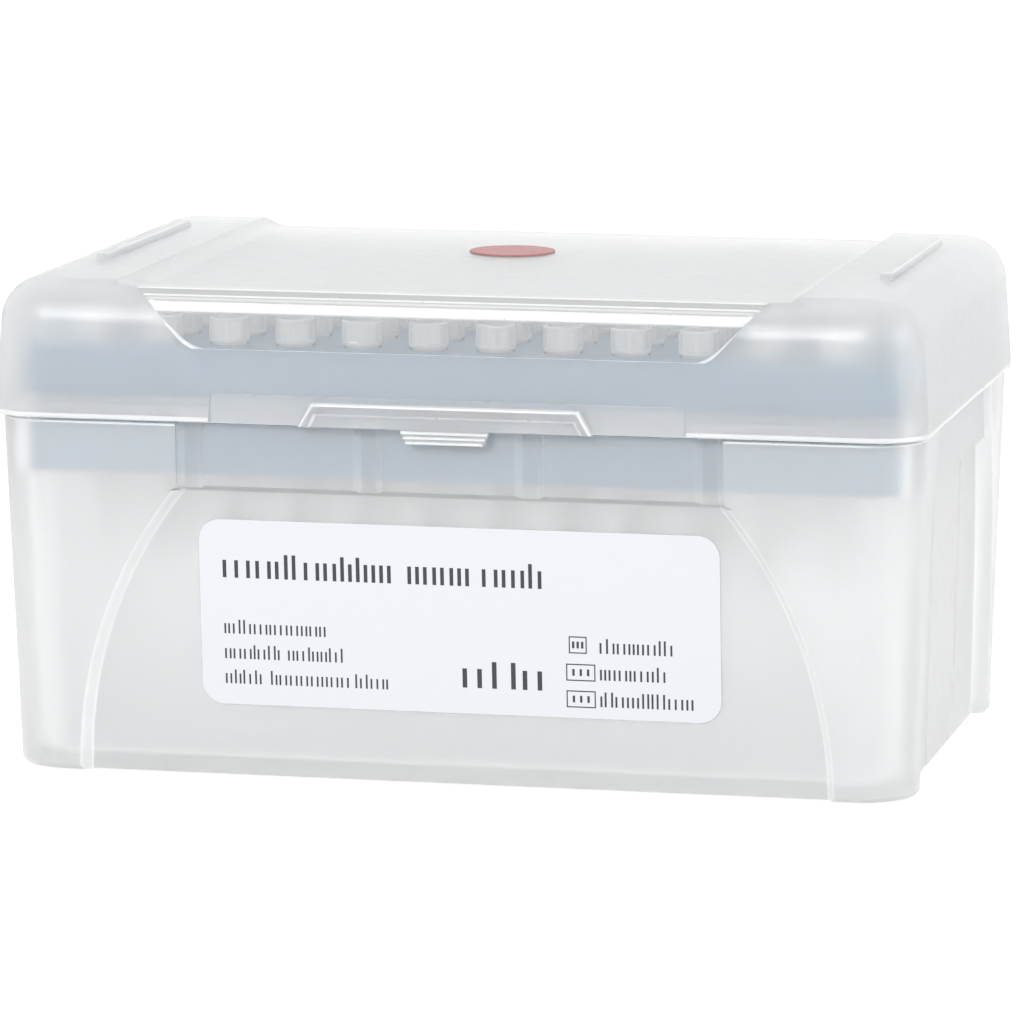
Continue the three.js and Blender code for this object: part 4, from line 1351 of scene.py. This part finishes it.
class TIPBOX_OT_filters(bpy.types.Operator):
    """Build the porous filters inside the tips"""

    bl_idname = "tip_box.filters"
    bl_label = "Filters"

    def execute(self, context):
        squeeze, taper, edge = 0.97, 0.95, 0.2
        wide = (FILTER_HIGH.x - FILTER_LOW.x) / 2 * squeeze
        narrow = wide * taper
        low, high = FILTER_LOW.z, FILTER_HIGH.z
        profile = [(narrow - edge, low), (narrow, low + edge), (wide, high - edge), (wide - edge, high)]
        plug = loft("filter", [turned_loop(r, z, 20) for r, z in profile])
        smooth(plug, 50)
        material = porous_filter()
        finish_piece(on_grid("filters", plug, material), "base", material, FILTER_NODES)
        return {"FINISHED"}


# ---- Label and dot ----


def label_place():
    """The matrix that lays a level shape on the leaning panel, at the label's middle."""
    middle = (LABEL_LOW + LABEL_HIGH) / 2
    foot = base_half_depth(0) - arch_depth(0)
    lean = math.atan2(base_half_depth(arch_top()) - arch_depth(arch_top()) - foot, arch_top())
    y = -(foot + math.tan(lean) * middle.z)
    return Matrix.Translation((middle.x, y, middle.z)) @ Matrix.Rotation(math.pi / 2 + lean, 4, "X")


# Lines of print, from the label's middle: left end, foot, height, width of a stroke, and the words' widths.
PRINT_LINES = (
    (-31.7, 4.7, 3.3, 0.5, (23.5, 8.5, 8.0)),
    (-31.7, -2.9, 1.9, 0.25, (14.3,)),
    (-31.7, -6.3, 1.9, 0.25, (7.7, 7.7)),
    (-31.7, -9.7, 1.9, 0.25, (5.3, 10.6, 4.5)),
    (0.4, -9.0, 3.6, 0.62, (4.9, 5.2)),
    (18.8, -3.7, 2.0, 0.27, (10.0,)),
    (18.8, -7.3, 2.0, 0.27, (9.3,)),
    (18.8, -10.9, 2.0, 0.27, (12.8,)),
)
PRINT_BOXES = ((14.7, -3.8, 2.4, 2.3), (14.3, -7.5, 3.9, 2.3), (14.3, -11.1, 3.9, 2.3))


def print_rectangles():
    """Upright strokes that stand for words, and framed boxes, each as left, right, low and high."""
    pick = random.Random(5)
    heights, spacings, word_gap = (0.72, 0.72, 0.72, 1.0), (2.1, 2.5, 3.2), 0.45
    marks = []
    for left, low, tall, stroke, words in PRINT_LINES:
        for width in words:
            x = left
            while x + stroke < left + width:
                height = tall * pick.choice(heights)
                marks.append((x, x + stroke, low, low + height))
                x += stroke * pick.choice(spacings)
            left += width + tall * word_gap
    line, count, margin = 0.16, 3, 0.3
    for left, low, wide, tall in PRINT_BOXES:
        right, high = left + wide, low + tall
        marks += [
            (left, right, low, low + line),
            (left, right, high - line, high),
            (left, left + line, low + line, high - line),
            (right - line, right, low + line, high - line),
        ]
        for i in range(count):
            x = left + wide * (i + 1) / (count + 1)
            marks.append((x - line, x + line, low + tall * margin, high - tall * margin))
    return marks


def plates(name, rectangles, low, high):
    """One mesh with a flat closed plate for each rectangle."""
    verts, faces = [], []
    for left, right, front, back in rectangles:
        start = len(verts)
        for z in (low, high):
            verts += [(left, front, z), (right, front, z), (right, back, z), (left, back, z)]
        for side in ((3, 2, 1, 0), (4, 5, 6, 7), (0, 1, 5, 4), (1, 2, 6, 5), (2, 3, 7, 6), (3, 0, 4, 7)):
            faces.append([start + corner for corner in side])
    mesh = bpy.data.meshes.new(name)
    mesh.from_pydata(verts, [], faces)
    return new_object(name, mesh)


class TIPBOX_OT_label(bpy.types.Operator):
    """Build the paper label and its plain print"""

    bl_idname = "tip_box.label"
    bl_label = "Label"

    def execute(self, context):
        lift, thick, edge, corner, ink_thick = 0.03, 0.14, 0.05, 3.0, 0.015
        half_width = (LABEL_HIGH.x - LABEL_LOW.x) / 2
        half_height = (LABEL_HIGH.z - LABEL_LOW.z) / 2
        top = lift + thick
        levels = ((0, lift), (0, top - edge), (edge, top))
        sheet = loft("label_sheet", [
            level_loop(half_width - inset, half_height - inset, corner - inset, z, 10) for inset, z in levels
        ])
        sheet.data.transform(label_place())
        smooth(sheet, 60)
        finish_piece(sheet, "base", label_paper(), ["front_label"])
        ink = plates("label_print", print_rectangles(), top - ink_thick / 2, top + ink_thick / 2)
        ink.data.transform(label_place())
        finish_piece(ink, "base", label_ink())
        return {"FINISHED"}


class TIPBOX_OT_dot(bpy.types.Operator):
    """Build the round indicator dot on the lid"""

    bl_idname = "tip_box.dot"
    bl_label = "Indicator dot"

    def execute(self, context):
        lift, edge = 0.02, 0.05
        middle = (DOT_LOW + DOT_HIGH) / 2
        radius = (DOT_HIGH.x - DOT_LOW.x) / 2
        profile = [(radius, panel_z() + lift), (radius, DOT_HIGH.z - edge), (radius - edge, DOT_HIGH.z)]
        film = loft("indicator_film", [turned_loop(r, z, 64) for r, z in profile])
        film.data.transform(Matrix.Translation((middle.x, middle.y, 0)))
        smooth(film, 60)
        finish_piece(film, "lid", dot_film(), ["indicator_dot"])
        return {"FINISHED"}


# ---- Stage ----


def area_light(name, place, aim, size, watts):
    data = bpy.data.lights.new(name, "AREA")
    data.shape = "RECTANGLE"
    data.size, data.size_y = size
    data.energy = watts
    light = new_object(name, data)
    light.location = place
    light.rotation_euler = (Vector(aim) - Vector(place)).to_track_quat("-Z", "Y").to_euler()
    return light


def stage_floor():
    """A wide pale floor that glows like a light table."""
    reach, height = 6.0, -0.0002
    corners = [(-reach, -reach), (reach, -reach), (reach, reach), (-reach, reach)]
    mesh = bpy.data.meshes.new("floor")
    mesh.from_pydata([(x, y, height) for x, y in corners], [], [(0, 1, 2, 3)])
    mesh.materials.append(varied_material(
        "stage floor", shade(colours().floor, 0.25), tone=(0.01, 3, 0.96, 1), rough=(0.02, 3, 0.5, 0.6),
        Specular_IOR_Level=0.0, Emission_Color=(1, 1, 1, 1), Emission_Strength=0.8,
    ))
    new_object("floor", mesh)


def stage_camera():
    aim = Vector((0, 0, 0.033))
    azimuth, elevation, distance = math.radians(12.646), math.radians(8.716), 0.892
    back = Vector((
        math.sin(azimuth) * math.cos(elevation),
        -math.cos(azimuth) * math.cos(elevation),
        math.sin(elevation),
    ))
    data = bpy.data.cameras.new("camera")
    data.lens = 230.6
    data.sensor_width = 36.0
    data.shift_x = -0.0039
    data.shift_y = -0.0166
    camera = new_object("camera", data)
    camera.location = aim + back * distance
    camera.rotation_euler = (-back).to_track_quat("-Z", "Y").to_euler()
    bpy.context.scene.camera = camera


class TIPBOX_OT_stage(bpy.types.Operator):
    """Set up the floor, the soft light and the camera"""

    bl_idname = "tip_box.stage"
    bl_label = "Stage"

    def execute(self, context):
        context.scene.view_settings.view_transform = "Standard"
        world = bpy.data.worlds.new("studio")
        world.use_nodes = True
        background = world.node_tree.nodes["Background"]
        background.inputs["Color"].default_value = (1.0, 1.0, 1.0, 1)
        background.inputs["Strength"].default_value = 1.2
        context.scene.world = world
        stage_floor()
        area_light("key_softbox", (-0.144, -0.642, 0.33), (0, 0, 0.05), (0.3, 0.2), 2.3)
        area_light("side_softbox", (0.62, -0.12, 0.22), (0, 0, 0.04), (0.4, 0.3), 1.3)
        stage_camera()
        return {"FINISHED"}


class TIPBOX_PT_panel(bpy.types.Panel):
    """Lists the pieces of the box"""

    bl_label = "Pipette Tip Box"
    bl_idname = "TIPBOX_PT_panel"
    bl_space_type = "VIEW_3D"
    bl_region_type = "UI"
    bl_category = "Tip Box"

    def draw(self, context):
        for operator in OPERATORS:
            self.layout.operator(operator.bl_idname)
        for name in SETTINGS:
            group = getattr(context.scene, name)
            box = self.layout.box()
            for key in group.bl_rna.properties.keys():
                if key not in {"rna_type", "name"}:
                    box.prop(group, key)


OPERATORS = (
    TIPBOX_OT_stage,
    TIPBOX_OT_base,
    TIPBOX_OT_lid,
    TIPBOX_OT_tray,
    TIPBOX_OT_tips,
    TIPBOX_OT_filters,
    TIPBOX_OT_label,
    TIPBOX_OT_dot,
)
SETTINGS = {
    "tip_box_shell": ShellSettings,
    "tip_box_base": BaseSettings,
    "tip_box_lid": LidSettings,
    "tip_box_tips": TipSettings,
    "tip_box_colours": ColourSettings,
}
CLASSES = (*SETTINGS.values(), *OPERATORS, TIPBOX_PT_panel)


def register():
    for item in CLASSES:
        bpy.utils.register_class(item)
    for name, group in SETTINGS.items():
        setattr(bpy.types.Scene, name, PointerProperty(type=group))


def unregister():
    for name in SETTINGS:
        delattr(bpy.types.Scene, name)
    for item in reversed(CLASSES):
        bpy.utils.unregister_class(item)


def main():
    register()
    for operator in OPERATORS:
        group, name = operator.bl_idname.split(".")
        getattr(getattr(bpy.ops, group), name)()


if __name__ == "__main__":
    main()
